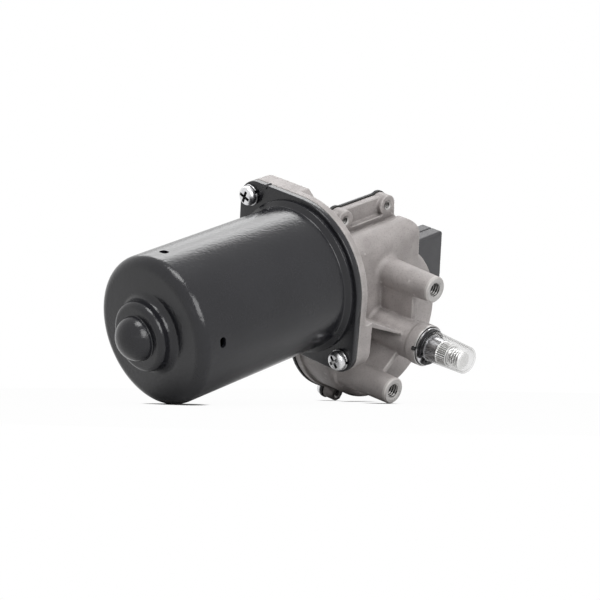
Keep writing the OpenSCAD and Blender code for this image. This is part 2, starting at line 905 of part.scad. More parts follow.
module brush_springs() color(steel) at_rest()
    for (turn = brush_turns)
        rotate([turn, 0, 0])
            translate([card_x + card_t + 0.1 + brush_h / 2, commutator_d / 2 + 0.3 + brush_len + 0.35, 0])
                rotate([-90, 0, 0])
                    coil(1.7, 0.3, spring_len, 4);

// A coil spring of round wire, standing on z = 0
module coil(r, wire_r, len, turns) {
    sides = 6;
    steps = 12 * turns;
    points = [
        for (i = [0:steps])
            let (turn = 360 * turns * i / steps, rise = wire_r + (len - 2 * wire_r) * i / steps)
                for (j = [0:sides - 1])
                    let (lean = 360 * j / sides, reach = r + wire_r * cos(lean))
                        [reach * cos(turn), reach * sin(turn), rise + wire_r * sin(lean)]
    ];
    faces = [
        [for (j = [sides - 1:-1:0]) j],
        for (i = [0:steps - 1])
            for (j = [0:sides - 1])
                let (a = i * sides + j, b = i * sides + (j + 1) % sides)
                    each strip(a, a + sides, b, b + sides),
        [for (j = [0:sides - 1]) steps * sides + j]
    ];
    polyhedron(points, faces);
}

// Cover side

module cover_gasket() color(rubber_black) at_rest()
    out_between(-cover_y + overlap, -case_back - overlap)
        difference() {
            rim_outline(-cover_lip);
            case_mouth();
            for (lug = lugs)
                translate(lug)
                    circle(d = cover_screw_d + 0.8, $fn = 32);
        }

module gear_cover() color(can_black) at_rest()
    difference() {
        union() {
            out_between(-cover_y - cover_t, -cover_y)
                rim_outline(-cover_lip);
            turned_case()
                pan_section(0);
        }
        turned_case()
            pan_section(cover_t);
        for (lug = lugs)
            translate([lug[0], 2 * cover_y, lug[1]])
                rotate([90, 0, 0])
                    cylinder(h = 2 * cover_y, d = cover_screw_d + 0.4);
    }

// The cover's pan: a dish with a rounded edge, as [radius, out]
module pan_section(shrink) {
    bend = 3 - shrink;
    edge_r = pan_r - shrink;
    floor_out = -cover_y - pan_depth + shrink;
    polygon([
        [0, -cover_y + shrink], [edge_r, -cover_y + shrink],
        for (i = [0:4])
            let (turn = 90 * i / 4)
                [edge_r - bend + bend * cos(turn), floor_out + bend - bend * sin(turn)],
        [0, floor_out]
    ]);
}

module cover_screws() color(zinc) at_rest()
    for (lug = lugs)
        translate([lug[0], cover_y + cover_t + seat_gap, lug[1]])
            rotate([0, 0, -90])
                pan_screw(cover_screw_d, 7, 2.4, cover_screw_len);

// The connector: a flat socket with rounded edges, on a throat that goes through the case's wall
module connector_shell() color(moulded_grey) at_rest()
    difference() {
        union() {
            difference() {
                intersection() {
                    along_x(plug_start, plug_x)
                        translate([plug_y, plug_top - plug_h])
                            offset(plug_corner, $fn = 24)
                                offset(-plug_corner)
                                    square([plug_w, plug_h]);
                    out_between(-plug_y - 2 * plug_w, -plug_y + plug_w)
                        plug_side();
                }
                turned_case()
                    ring_profile(0, rim_r + cover_lip + seat_gap, -cover_y - cover_t - 20, 2 * case_front);
            }
            plug_throat(0);
        }
        translate([plug_start, groove_y, plug_top - plug_groove])
            cube([plug_x, plug_groove, 2 * plug_groove]);
        translate([plug_x - plug_depth, plug_y + plug_wall, plug_top - plug_h + plug_wall])
            cube([2 * plug_depth, plug_w - 2 * plug_wall, plug_h - 2 * plug_wall]);
        pin_row(seat_gap);
    }

// The connector's side view, with its mouth's corners rounded
module plug_side() {
    low = plug_top - plug_h;
    box_profile([0, low], [plug_x - plug_end_r, plug_top]);
    box_profile([0, low + plug_end_r], [plug_x, plug_top - plug_end_r]);
    for (z = [low + plug_end_r, plug_top - plug_end_r])
        translate([plug_x - plug_end_r, z])
            circle(plug_end_r, $fn = 32);
}

// The connector's throat, or with room around it the window it goes through
module plug_throat(room) {
    inner = room > 0 ? 3 : 0;
    translate([throat_start - inner, throat_y - room, throat_z - room])
        cube([case_r + 6 - cavity_r + inner, throat_w, throat_h] + 2 * room * [0, 1, 1]);
}

// The row of contact blades, or with room around them the slots that hold them
module pin_row(room) {
    blade_w = 0.8;
    tail_y = throat_y + (throat_w - blade_w) / 2;
    blade_y = plug_y + (plug_w - blade_w) / 2;
    jog_x = plug_x - plug_depth - 2.5;
    for (i = [0:plug_pins - 1])
        translate([0, 0, throat_z + throat_h * (i + 0.5) / plug_pins - 1 - room])
            linear_extrude(2 + 2 * room)
                offset(delta = room)
                    polygon([
                        [throat_start - 1, tail_y], [jog_x + blade_w, tail_y], [jog_x + blade_w, blade_y],
                        [plug_x - plug_depth + blade_len, blade_y],
                        [plug_x - plug_depth + blade_len, blade_y + blade_w], [jog_x, blade_y + blade_w],
                        [jog_x, tail_y + blade_w], [throat_start - 1, tail_y + blade_w]
                    ]);
}

module connector_pins() color(copper) at_rest()
    pin_row(0);

// A block on the cover's inside that holds the feet of the park contacts
module contact_carrier() color(moulded_grey) at_rest()
    difference() {
        translate([shaft_x - park_tracks[2] - 2, pan_floor - seat_gap - carrier_t, foot_z - 3])
            cube([park_tracks[2] - park_tracks[0] + 5, carrier_t, 9]);
        for (track = park_tracks)
            translate([shaft_x - track - 1 - seat_gap, pan_floor - seat_gap - 2, foot_z - 4])
                cube([2 + 2 * seat_gap, 0.4 + 2 * seat_gap, 9]);
    }

// Three leaf springs that reach from the carrier down to the tracks on the park disc
module park_contacts() color(copper) at_rest()
    for (track = park_tracks)
        along_x(shaft_x - track - 1, shaft_x - track + 1)
            polygon([
                [leaf_y, foot_z + 4], [leaf_y, foot_z - 4], [disc_back + 0.5, -worm_drop + 1],
                [disc_back + 0.05, -worm_drop], [disc_back + 0.5, -worm_drop - 1.4],
                [disc_back + 0.9, -worm_drop - 1.4], [disc_back + 0.5, -worm_drop],
                [leaf_y + 0.4, foot_z - 3.6], [leaf_y + 0.4, foot_z + 4]
            ]);

// Output side

module output_shaft() color(zinc) at_rest()
    turned_out()
        polygon([
            [0, -shaft_in], [shaft_r - 0.5, -shaft_in], [shaft_r, -shaft_in + 0.5],
            [shaft_r, clip_out], [clip_groove_r, clip_out], [clip_groove_r, clip_out + clip_t + 0.1],
            [shaft_r, clip_out + clip_t + 0.1], [shaft_r, clip_out + clip_t + 0.4],
            [seat_d / 2, cap_start - overlap], [seat_d / 2, seat_out], [seat_tip_d / 2, seat_out + seat_len],
            [thread_d / 2 - 0.7, seat_out + seat_len + 0.4],
            [thread_d / 2 - 0.7, shaft_out - thread_len],
            [thread_d / 2, shaft_out - thread_len + 0.6],
            [thread_d / 2, shaft_out - 0.8], [thread_d / 2 - 0.8, shaft_out], [0, shaft_out]
        ]);

module outer_thrust_washer() color(zinc) at_rest()
    turned_out()
        ring_profile(shaft_r + 0.1, seal_r - 0.2, boss_out + 0.3, clip_out - 0.05);

module circlip() color(rubber_black) at_rest() {
    gap_turn = 214;
    band = 1.8;
    ear_out = shaft_r + 0.4;
    ear_turns = [-26, 26];
    out_between(clip_out + 0.02, clip_out + clip_t)
        translate([shaft_x, -worm_drop])
            difference() {
                union() {
                    circle(shaft_r + band);
                    for (side = ear_turns)
                        rotate(gap_turn + side)
                            translate([ear_out, 0])
                                circle(1.7, $fn = 24);
                }
                circle(clip_groove_r + 0.02);
                rotate(gap_turn)
                    polygon([[0, 0], 12 * [cos(14), -sin(14)], 12 * [cos(14), sin(14)]]);
                for (side = ear_turns)
                    rotate(gap_turn + side)
                        translate([ear_out, 0])
                            circle(0.6, $fn = 16);
            }
}

module inner_thrust_washer() color(steel) at_rest()
    turned_out()
        ring_profile(shaft_r + 0.05, shaft_r + 4, wheel_w / 2 + plate_t + 0.3, cavity_front - 0.3);

module drive_plate() color(steel) at_rest()
    translate([shaft_x, 0, -worm_drop])
        rotate([90, 0, 0])
            translate([0, 0, wheel_w / 2])
                linear_extrude(plate_t)
                    difference() {
                        circle(wheel_root_r - plate_inset);
                        circle(shaft_r + 0.02);
                    }

// The gear wheel: a toothed rim on a thin ribbed web and a hub
module worm_wheel() color(moulded_cream) at_rest() {
    rim_in = wheel_root_r - wheel_rim_t;
    hub_r = shaft_r + hub_wall;
    turned_out()
        union() {
            ring_profile(shaft_r + 0.02, hub_r, -wheel_w / 2, wheel_w / 2);
            ring_profile(hub_r - 1, rim_in + 1, 0, wheel_w / 2);
            ring_profile(rim_in, wheel_root_r, -wheel_w / 2, wheel_w / 2);
        }
    for (i = [0:wheel_teeth - 1])
        translate([shaft_x, 0, -worm_drop])
            rotate([0, -90 + 360 * (i + 0.5) / wheel_teeth, 0])
                translate([wheel_pitch_r, 0, 0])
                    rotate([-worm_lead_angle, 0, 0])
                        rotate([90, 0, 0])
                            linear_extrude(wheel_w / cos(worm_lead_angle) - 1, center = true)
                                wheel_tooth();
}

// One tooth's section, as [height over the pitch circle, along the pitch circle]
module wheel_tooth() {
    half = (gear_pitch - backlash) / 4;
    lean = tan(20);
    polygon([
        [gear_module, half - lean * gear_module], [gear_module, -half + lean * gear_module],
        [-1.2 * gear_module - 0.3, -half - lean * 1.2 * gear_module],
        [-1.2 * gear_module - 0.3, half + lean * 1.2 * gear_module]
    ]);
}

module park_disc() color(copper) at_rest()
    translate([shaft_x, 0, -worm_drop])
        rotate([90, 0, 0])
            translate([0, 0, -disc_back])
                linear_extrude(disc_t)
                    difference() {
                        circle(19);
                        circle(8);
                        rotate(200)
                            arc_band(11, 15, 40);
                    }

// Armature

module armature_shaft() color(steel) at_rest() {
    relief = 0.4;
    turned_x()
        polygon([
            [0, rotor_start], [rotor_r - 0.5, rotor_start], [rotor_r, rotor_start + 0.5],
            [rotor_r, worm_start - relief - 1], [journal_r, worm_start - relief],
            [journal_r, armature_end - 0.8], [journal_r - 0.5, armature_end - 0.3], [0, armature_end - 0.3]
        ]);
    worm();
}

// The worm as one closed skin: a rack tooth and the floor beside it, swept along a helix,
// with a round end face on both sides. The tooth grows out of the floor at both ends.
module worm() {
    lap = 24;
    steps = round((worm_len / gear_pitch - 1.3) * lap);
    half = (gear_pitch - backlash) / 4;
    lean = tan(20);
    foot = half + lean * (worm_pitch_r - worm_root_r);
    points = [
        for (i = [0:steps])
            let (
                x = gear_pitch * (i - steps / 2) / lap,
                tip = worm_root_r + 0.1 + (worm_tip_r - worm_root_r - 0.1) * min(1, i / 8, (steps - i) / 8),
                top = half - lean * (tip - worm_pitch_r)
            )
                each [
                    worm_point(worm_root_r, x - foot, i - steps / 2, lap), worm_point(tip, x - top, i - steps / 2, lap),
                    worm_point(tip, x + top, i - steps / 2, lap), worm_point(worm_root_r, x + foot, i - steps / 2, lap)
                ],
        for (i = [0:lap - 1])
            worm_point(worm_root_r, -worm_len / 2, i - steps / 2, lap),
        for (i = [0:lap - 1])
            worm_point(worm_root_r, worm_len / 2, steps - lap + i - steps / 2, lap)
    ];
    left = 4 * (steps + 1);
    right = left + lap;
    tail = steps - lap;
    faces = [
        // The tooth's two flanks and its top
        for (i = [0:steps - 1])
            for (j = [0:2])
                each strip(4 * i + j, 4 * i + j + 4, 4 * i + j + 1, 4 * i + j + 5),
        // The floor between one turn and the next
        for (i = [0:tail - 1])
            each strip(4 * i + 3, 4 * i + 7, 4 * (i + lap), 4 * (i + lap) + 4),
        // The floor from the first end face to the first turn
        for (i = [0:lap - 2])
            each strip(left + i, left + i + 1, 4 * i, 4 * i + 4),
        [left + lap - 1, 0, left],
        [left + lap - 1, 3, 0],
        [left + lap - 1, 4 * lap, 3],
        [left + lap - 1, 4 * lap - 4, 4 * lap],
        // The floor from the last turn to the second end face
        for (i = [1:lap - 1])
            each strip(4 * (tail + i) + 3, 4 * (tail + i) + 7, right + i, right + (i + 1) % lap),
        [4 * tail + 7, right, right + 1],
        [4 * tail + 7, 4 * steps + 3, right],
        [4 * tail + 7, 4 * steps, 4 * steps + 3],
        [4 * tail + 7, 4 * tail + 3, 4 * steps],
        // The tooth's two ends and the two end faces
        [3, 2, 1, 0],
        [for (j = [0:3]) 4 * steps + j],
        [for (i = [0:lap - 1]) left + i],
        [for (i = [lap - 1:-1:0]) right + i]
    ];
    translate([shaft_x, 0, 0])
        polyhedron(points, faces);
}

// A point of the worm's skin, with its place around the axis counted in steps from straight down
function worm_point(r, x, step, lap) = [x, r * sin(360 * step / lap), -r * cos(360 * step / lap)];

// Two triangles between one edge and the next
function strip(a, a_next, b, b_next) = [[a, b_next, a_next], [a, b, b_next]];

module armature_core() color(steel) at_rest()
    translate([core_x, 0, 0])
        rotate([90, 0, 90])
            linear_extrude(core_len)
                difference() {
                    circle(core_r, $fn = 96);
                    circle(rotor_r + 0.02);
                    for (i = [0:core_slots - 1])
                        rotate(360 * i / core_slots) {
                            translate([core_r - slot_depth, 0])
                                circle(slot_r, $fn = 24);
                            translate([core_r - slot_depth, -slot_mouth / 2])
                                square([2 * slot_depth, slot_mouth]);
                        }
                }

// Copper end turns on both sides of the core, and the wires in its slots
module windings() color(copper) at_rest() {
    bulge = 6;
    for (side = [0, 1])
        translate([core_x + side * core_len, 0, 0])
            mirror([1 - side, 0, 0])
                turned_x()
                    polygon([
                        [rotor_r + 1.5, 0.05], [core_r - 2.5, 0.05], [core_r - 2.5, bulge - 3],
                        [core_r - 4, bulge - 1], [core_r - 6.5, bulge], [rotor_r + 3, bulge - 1.5],
                        [rotor_r + 1.5, bulge - 3.5]
                    ]);
    for (i = [0:core_slots - 1])
        rotate([360 * i / core_slots, 0, 0])
            translate([core_x - 1, core_r - slot_depth, 0])
                rotate([0, 90, 0])
                    cylinder(h = core_len + 2, r = slot_r - 0.2, $fn = 24);
}

module commutator() color(copper) at_rest()
    translate([commutator_x, 0, 0])
        rotate([90, 0, 90])
            linear_extrude(commutator_len)
                difference() {
                    circle(d = commutator_d);
                    circle(rotor_r + 0.02);
                    for (i = [0:core_slots - 1])
                        rotate(360 * (i + 0.5) / core_slots)
                            translate([commutator_d / 2 - 2, -0.3])
                                square([3, 0.6]);
                }

// Clear cap over the crank's seat and the thread, pushed on for transport

module shaft_cap() color(clear) at_rest()
    translate([cap_shift * cos(cap_lean), 0, cap_shift * sin(cap_lean)])
        turned_out()
            polygon([
                [cap_mouth_r, cap_start], [cap_mouth_r + cap_wall, cap_start],
                [cap_end_r + cap_wall, cap_end - 1], [cap_end_r - 0.5, cap_end + cap_wall],
                [0, cap_end + cap_wall], [0, cap_end], [cap_end_r - 0.7, cap_end],
                [cap_end_r, cap_end - 1.2]
            ]);

motor_can();
magnets();
nose_bush();
bush_retainer();
thrust_ball();
flange_screws();
flange_washers();
gear_housing();
drive_end_bearing();
worm_end_bush();
brush_card();
brushes();
brush_springs();
rear_shaft_bush();
front_shaft_bush();
shaft_seal();
cover_gasket();
gear_cover();
cover_screws();
connector_shell();
connector_pins();
contact_carrier();
park_contacts();
output_shaft();
drive_plate();
worm_wheel();
park_disc();
inner_thrust_washer();
outer_thrust_washer();
circlip();
armature_shaft();
armature_core();
windings();
commutator();
shaft_cap();
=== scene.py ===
# %% [markdown]
# # A windscreen wiper motor
# The motor lies on a table: a black steel can on the left, a grey die-cast gear case on the right,
# and a knurled crank shaft under a clear cap. The CAD model gives every place and size, in metres,
# so this lesson only adds what the eye needs: soft casting edges, threads, a knurl, screw heads and
# the finish of each material.

# %% Load the packed model
import math

import bmesh
import bpy
import numpy as np
from mathutils import Matrix, Vector


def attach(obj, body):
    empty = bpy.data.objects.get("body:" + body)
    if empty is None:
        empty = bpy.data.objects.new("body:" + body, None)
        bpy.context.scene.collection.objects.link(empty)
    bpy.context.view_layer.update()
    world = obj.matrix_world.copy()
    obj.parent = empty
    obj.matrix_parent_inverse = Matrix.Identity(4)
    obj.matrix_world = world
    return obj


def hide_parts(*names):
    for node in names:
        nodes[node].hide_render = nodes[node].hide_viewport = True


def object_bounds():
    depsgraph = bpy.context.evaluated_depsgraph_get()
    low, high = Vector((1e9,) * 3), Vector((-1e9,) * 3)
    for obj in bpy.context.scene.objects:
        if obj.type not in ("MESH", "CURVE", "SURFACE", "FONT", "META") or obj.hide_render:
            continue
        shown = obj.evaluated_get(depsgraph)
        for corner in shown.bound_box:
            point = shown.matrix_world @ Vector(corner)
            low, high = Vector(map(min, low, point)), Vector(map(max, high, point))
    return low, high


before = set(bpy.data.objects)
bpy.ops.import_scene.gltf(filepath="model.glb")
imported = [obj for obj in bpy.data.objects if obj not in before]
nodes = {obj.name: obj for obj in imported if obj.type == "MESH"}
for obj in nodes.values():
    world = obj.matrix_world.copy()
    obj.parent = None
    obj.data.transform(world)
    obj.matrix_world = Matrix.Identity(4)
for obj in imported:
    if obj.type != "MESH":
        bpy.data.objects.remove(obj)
cad_box = [[round(float(c), 6) for c in corner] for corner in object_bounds()]
print("nodes", len(nodes), "box", cad_box)

# %% [markdown]
# ## Drawing square to the motor
# The motor rests on three points, so none of its axes is level. It is much easier to draw it
# square, in millimetres, as the CAD source does: the motor along x with its flange at x = 0, the
# crank shaft pointing towards -y. One matrix then lays every point down in the frame.

# %% The matrix that lays the motor down
SHAFT_X, WORM_DROP, SEAT_OUT = 37.0, 31.2, 45.2
REST_ROLL, REST_PITCH = 19.2, 17.86
turned = (Matrix.Rotation(math.radians(-REST_PITCH), 4, "Y")
          @ Matrix.Rotation(math.radians(REST_ROLL), 4, "X"))
lay_down = Matrix.Scale(0.001, 4) @ turned @ Matrix.Translation((-SHAFT_X, SEAT_OUT, WORM_DROP))
print("dome tip", [round(c, 4) for c in lay_down @ Vector((-100, 0, 0))])

# %% [markdown]
# ## The camera
# The photograph was taken with a long lens. Its direction is given against the motor's own axes,
# and the same matrix carries it into the frame.

# %% The camera at the photograph's viewing angle
CAMERA_AT = (-553.5, -532.0, 337.4)
FOCAL_PIXELS, PICTURE_PIXELS, SENSOR_MM = 1981.8, 600, 36

azimuth, elevation, roll = (math.radians(a) for a in (46.133, 24.466, 1.469))
look = Vector((math.sin(azimuth) * math.cos(elevation),
               math.cos(azimuth) * math.cos(elevation), -math.sin(elevation)))
level = Vector((math.cos(azimuth), -math.sin(azimuth), 0))
upright = level.cross(look)
side = math.cos(roll) * level + math.sin(roll) * upright
top = -math.sin(roll) * level + math.cos(roll) * upright
camera = bpy.data.objects.new("camera", bpy.data.cameras.new("camera"))
bpy.context.scene.collection.objects.link(camera)
camera.data.sensor_width = SENSOR_MM
camera.data.lens = SENSOR_MM * FOCAL_PIXELS / PICTURE_PIXELS
camera.data.clip_start = 0.05
facing = Matrix((side, top, -look)).transposed().to_4x4()
camera.matrix_world = Matrix.Translation(lay_down @ Vector(CAMERA_AT)) @ turned @ facing
bpy.context.scene.camera = camera
print("camera at", [round(c, 3) for c in camera.matrix_world.translation])

# %% [markdown]
# ## Shader sums as plain expressions
# A node tree is hard to read as a list of links. Here a small class stands for one output socket,
# and Python's operators add the Math nodes, so `1 - mask * 0.5` means what it says. All other nodes
# come from one method that sets the node's own options first and its sockets afterwards.

# %% A socket that does sums
class Wire:
    """One number or colour that flows through a node tree."""

    def __init__(self, owner, socket):
        self.owner, self.socket = owner, socket

    def sum_of(self, operation, *terms):
        return self.owner.wire("ShaderNodeMath", 0, {"operation": operation},
                               dict(enumerate(terms)))

    def __add__(self, other):
        return self.sum_of("ADD", self, other)

    def __sub__(self, other):
        return self.sum_of("SUBTRACT", self, other)

    def __rsub__(self, other):
        return self.sum_of("SUBTRACT", other, self)

    def __mul__(self, other):
        return self.sum_of("MULTIPLY", self, other)

    def __pow__(self, other):
        return self.sum_of("POWER", self, other)

    def biggest(self, other):
        return self.sum_of("MAXIMUM", self, other)

    def between(self, low, high):
        """0 below low, 1 above high, and a straight ramp from one to the other."""
        return self.owner.wire("ShaderNodeMapRange", 0, {"clamp": True},
                               {"Value": self, "From Min": low, "From Max": high})

    __radd__, __rmul__ = __add__, __mul__


# %% A node tree that is written from one method
class Tree:
    """The nodes of a material or of the world."""

    def __init__(self, tree):
        self.tree = tree

    def feed(self, socket, value):
        if isinstance(value, Wire):
            self.tree.links.new(value.socket, socket)
        else:
            socket.default_value = value

    def node(self, kind, settings=None, inputs=None):
        made = self.tree.nodes.new(kind)
        for option, value in (settings or {}).items():
            setattr(made, option, value)
        for socket, value in (inputs or {}).items():
            self.feed(made.inputs[socket], value)
        return made

    def wire(self, kind, output, settings=None, inputs=None):
        """A new node, as the wire that leaves one of its outputs."""
        return Wire(self, self.node(kind, settings, inputs).outputs[output])

    def shown_to(self, *rays):
        """1 for these kinds of ray, 0 for all others."""
        path = self.node("ShaderNodeLightPath")
        shown = Wire(self, path.outputs[rays[0]])
        for ray in rays[1:]:
            shown = shown.biggest(Wire(self, path.outputs[ray]))
        return shown


# %% A finish: one material with its Principled shader
class Finish(Tree):
    """A material that is built up from plain values first and variation afterwards."""

    def __init__(self, name, slot, colour, roughness, **shader):
        self.slot = slot
        self.material = bpy.data.materials.new(name)
        self.material.use_nodes = True
        super().__init__(self.material.node_tree)
        self.shader = self.tree.nodes["Principled BSDF"]
        self.place = None
        self.set("Base Color", (*colour, 1))
        self.set("Roughness", roughness)
        for socket, value in shader.items():
            self.set(socket.replace("_", " "), value)

    def set(self, socket, value):
        self.feed(self.shader.inputs[socket], value)

    def noise(self, size_mm, detail=2.0, stretch=(1, 1, 1)):
        """Grain of about this size, from 0 to 1. The stretch is per axis of the frame."""
        if self.place is None:
            self.place = self.wire("ShaderNodeTexCoord", "Object")
        spread = self.wire("ShaderNodeMapping", 0, {"vector_type": "POINT"},
                           {"Vector": self.place, "Scale": stretch})
        return self.wire("ShaderNodeTexNoise", 0, {"noise_dimensions": "3D"},
                         {"Vector": spread, "Scale": 1000 / size_mm, "Detail": detail})

    def blend(self, mask, colour_a, colour_b):
        """Colour a where the mask is 0, colour b where it is 1. A colour may itself be a blend."""
        mixer = self.node("ShaderNodeMix", {"data_type": "RGBA"})
        self.feed(mixer.inputs[0], mask)
        for socket, colour in ((6, colour_a), (7, colour_b)):
            self.feed(mixer.inputs[socket], colour if isinstance(colour, Wire) else (*colour, 1))
        return Wire(self, mixer.outputs[2])

    def tint(self, mask, colour_a, colour_b):
        """The base colour, from colour a where the mask is 0 to colour b where it is 1."""
        self.set("Base Color", self.blend(mask, colour_a, colour_b))

    def edges(self, low, high):
        """1 on outer edges, 0 on flat faces and in corners."""
        return self.wire("ShaderNodeNewGeometry", "Pointiness").between(low, high)

    def open_air(self, reach_mm, low, high, samples=6):
        """1 on open faces, 0 in holes and corners, where the finishes paint shade."""
        return self.wire("ShaderNodeAmbientOcclusion", "AO", {"samples": samples},
                         {"Distance": reach_mm / 1000}).between(low, high)

    def relief(self, height, depth_mm):
        """Bumps of this depth, read from a height between 0 and 1."""
        self.set("Normal", self.wire("ShaderNodeBump", 0, None,
                                     {"Height": height, "Distance": depth_mm / 1000}))


print("a finish can set", [name for name in vars(Finish) if not name.startswith("_")])

# %% [markdown]
# ## The black paint
# The can and the cover are dipped in a satin black paint. Its surface has a faint orange peel, a
# little dust has dried into it, and handling leaves patches that shine less. All three come from
# noise: the peel as relief, the dust and the patches in both colour and roughness. The peel is also
# what makes the lower border of the long reflection on the can look grainy.

# %% Satin black paint
paint = Finish("satin_black_paint", "can_paint", (0.012, 0.0125, 0.015), 0.25,
               Specular_IOR_Level=0.43)
patches = paint.noise(26, 3)
dust = paint.noise(0.7, 2).between(0.62, 0.8)
patchy_black = paint.blend(patches.between(0.35, 0.7),
                           (0.0105, 0.0106, 0.0135), (0.0155, 0.0156, 0.019))
paint.tint(dust * 0.25, patchy_black, (0.035, 0.035, 0.037))
paint.set("Roughness", 0.15 + patches * 0.07 + dust * 0.05)
paint.relief(paint.noise(1.1, 3), 0.1)
print("paint nodes", len(paint.tree.nodes))

# %% [markdown]
# ## The casting
# Die-cast aluminium that has been blasted and tumbled is a warm, dull grey. It is darker where the
# metal has flowed in streaks, and it has a fine grain. Its edges are lighter, partly from wear and
# partly as a painted highlight, found with the geometry's pointiness, which Blender measures at
# each vertex of a fine mesh. Corners and recesses get painted shade, which ambient occlusion finds.

# %% Die-cast aluminium
casting = Finish("die_cast_aluminium", "cast_metal", (0.38, 0.354, 0.345), 0.5,
                 Metallic=0.08, Specular_IOR_Level=0.3)
cloud = casting.noise(9, 4)
grain = casting.noise(0.7, 3)
cloudy = casting.blend(cloud.between(0.3, 0.7), (0.342, 0.317, 0.31), (0.472, 0.44, 0.431))
speckled = casting.blend(grain.between(0.52, 0.72) * 0.45, cloudy, (0.22, 0.205, 0.195))
# Lighter edges: partly wear, partly a painted highlight.
worn_and_highlit = casting.blend(casting.edges(0.51, 0.57) * 0.6, speckled, (0.62, 0.60, 0.58))
# Corners and recesses darkened towards a deep grey: painted shade.
casting.tint(casting.open_air(7, 0.22, 0.8), (0.17, 0.157, 0.152), worn_and_highlit)
casting.set("Roughness", 0.42 + grain * 0.18)
casting.relief(casting.noise(0.9, 4) + cloud * 0.6, 0.09)
print("casting nodes", len(casting.tree.nodes))

# %% [markdown]
# ## Bright metals
# The screws are zinc plated, with painted shade in their cross recesses. The shaft is turned steel
# with faint rings, and its knurl and thread are rolled into it, with bright crests and painted
# shade in the grooves. The ends of the posts and of the boss are cut flat on a lathe, and the
# tapped holes get painted shade between their crests.

# %% Zinc plate
zinc = Finish("bright_zinc", "zinc_plate", (0.74, 0.74, 0.75), 0.24, Metallic=1.0)
plate = zinc.blend(zinc.noise(1.6, 3).between(0.35, 0.7), (0.62, 0.62, 0.64), (0.80, 0.80, 0.80))
# Cross recesses and other hollows darkened to near black: painted shade.
zinc.tint(zinc.open_air(2, 0.35, 0.9), (0.10, 0.10, 0.10), plate)
zinc.set("Roughness", 0.2 + zinc.noise(0.4, 2) * 0.16)
zinc.relief(zinc.noise(0.5, 2), 0.01)
print("zinc nodes", len(zinc.tree.nodes))

# %% Turned and rolled steel
turned_steel = Finish("turned_steel", "zinc_plate", (0.70, 0.70, 0.70), 0.2, Metallic=1.0)
rings = turned_steel.noise(0.8, 2, (1, 0.12, 1))
turned_steel.tint(rings.between(0.35, 0.65), (0.30, 0.30, 0.31), (0.56, 0.56, 0.57))
turned_steel.set("Roughness", 0.24 + rings * 0.1)
turned_steel.relief(rings, 0.002)

rolled_steel = Finish("rolled_steel", "zinc_plate", (0.80, 0.80, 0.79), 0.3, Metallic=0.85)
streaks = rolled_steel.noise(0.9, 3)
crest = rolled_steel.blend(streaks.between(0.3, 0.7), (0.78, 0.78, 0.77), (0.93, 0.93, 0.92))
# The grooves of the knurl and thread are painted near black as shade; the crests stay bright.
rolled_steel.tint(rolled_steel.edges(0.43, 0.5), (0.01, 0.01, 0.01), crest)
rolled_steel.set("Roughness", 0.26 + streaks * 0.12)
print("steel nodes", len(turned_steel.tree.nodes), len(rolled_steel.tree.nodes))

# %% Cut casting, and threads with painted shade
cut_metal = Finish("cut_aluminium", "cast_metal", (0.46, 0.45, 0.44), 0.36, Metallic=0.7)
marks = cut_metal.noise(0.3, 2)
cut_metal.tint(marks, (0.38, 0.37, 0.36), (0.54, 0.53, 0.52))
cut_metal.set("Roughness", 0.30 + marks * 0.16)
cut_metal.relief(marks, 0.008)

threads_with_painted_shade = Finish("threads_with_painted_shade", "cast_metal", (0.2, 0.19, 0.18), 0.4, Metallic=0.5)
bright = threads_with_painted_shade.blend(threads_with_painted_shade.noise(0.6, 3), (0.36, 0.35, 0.34), (0.56, 0.55, 0.54))
# The thread grooves are painted near black as shade; the crests keep the lighter tone.
threads_with_painted_shade.tint(threads_with_painted_shade.edges(0.46, 0.54), (0.02, 0.019, 0.018), bright)
print("cut metal nodes", len(cut_metal.tree.nodes), len(threads_with_painted_shade.tree.nodes))

# %% [markdown]
# ## Dark spring steel, and the plain steels inside
# The circlip is phosphated nearly black. The magnets, laminations and bearings inside are rarely
# seen, but they are real pieces and get their own finish too.

# %% Dark and plain steels
spring_steel = Finish("phosphated_spring_steel", "spring_steel", (0.035, 0.035, 0.037), 0.34,
                      Metallic=0.6)
wear = spring_steel.noise(0.9, 3)
spring_steel.tint(wear.between(0.5, 0.8), (0.025, 0.025, 0.027), (0.09, 0.09, 0.092))
spring_steel.set("Roughness", 0.28 + wear * 0.18)

ground_steel = Finish("ground_steel", "steel", (0.56, 0.57, 0.58), 0.28, Metallic=1.0)
swirl = ground_steel.noise(0.5, 2, (0.3, 1, 1))
ground_steel.tint(swirl, (0.46, 0.47, 0.48), (0.64, 0.65, 0.66))
ground_steel.set("Roughness", 0.22 + swirl * 0.2)
print("spring steel and ground steel ready")

# %% Laminations and magnets
lamination = Finish("stacked_laminations", "lamination_steel", (0.36, 0.36, 0.37), 0.42,
                    Metallic=0.9)
layers = lamination.noise(0.5, 1, (1, 0.05, 0.05))
lamination.tint(layers.between(0.4, 0.6), (0.24, 0.24, 0.25), (0.44, 0.44, 0.45))
lamination.relief(layers, 0.03)

ferrite = Finish("sintered_ferrite", "ferrite", (0.10, 0.10, 0.105), 0.6)
pores = ferrite.noise(0.6, 4)
ferrite.tint(pores, (0.07, 0.07, 0.075), (0.15, 0.15, 0.155))
ferrite.relief(pores, 0.03)
print("laminations and ferrite ready")

# %% [markdown]
# ## Bronze, copper, carbon and wire
# Bushes are sintered bronze with tiny pores, contacts and commutator are copper that has browned a
# little, brushes are pressed carbon, and the windings are enamelled wire laid side by side.

# %% Bronze, copper, carbon and wire
bronze = Finish("sintered_bronze", "sintered_bronze", (0.50, 0.35, 0.16), 0.42, Metallic=0.9)
pits = bronze.noise(0.25, 3)
bronze.tint(pits.between(0.45, 0.7), (0.52, 0.37, 0.17), (0.28, 0.18, 0.08))
bronze.relief(pits, 0.02)

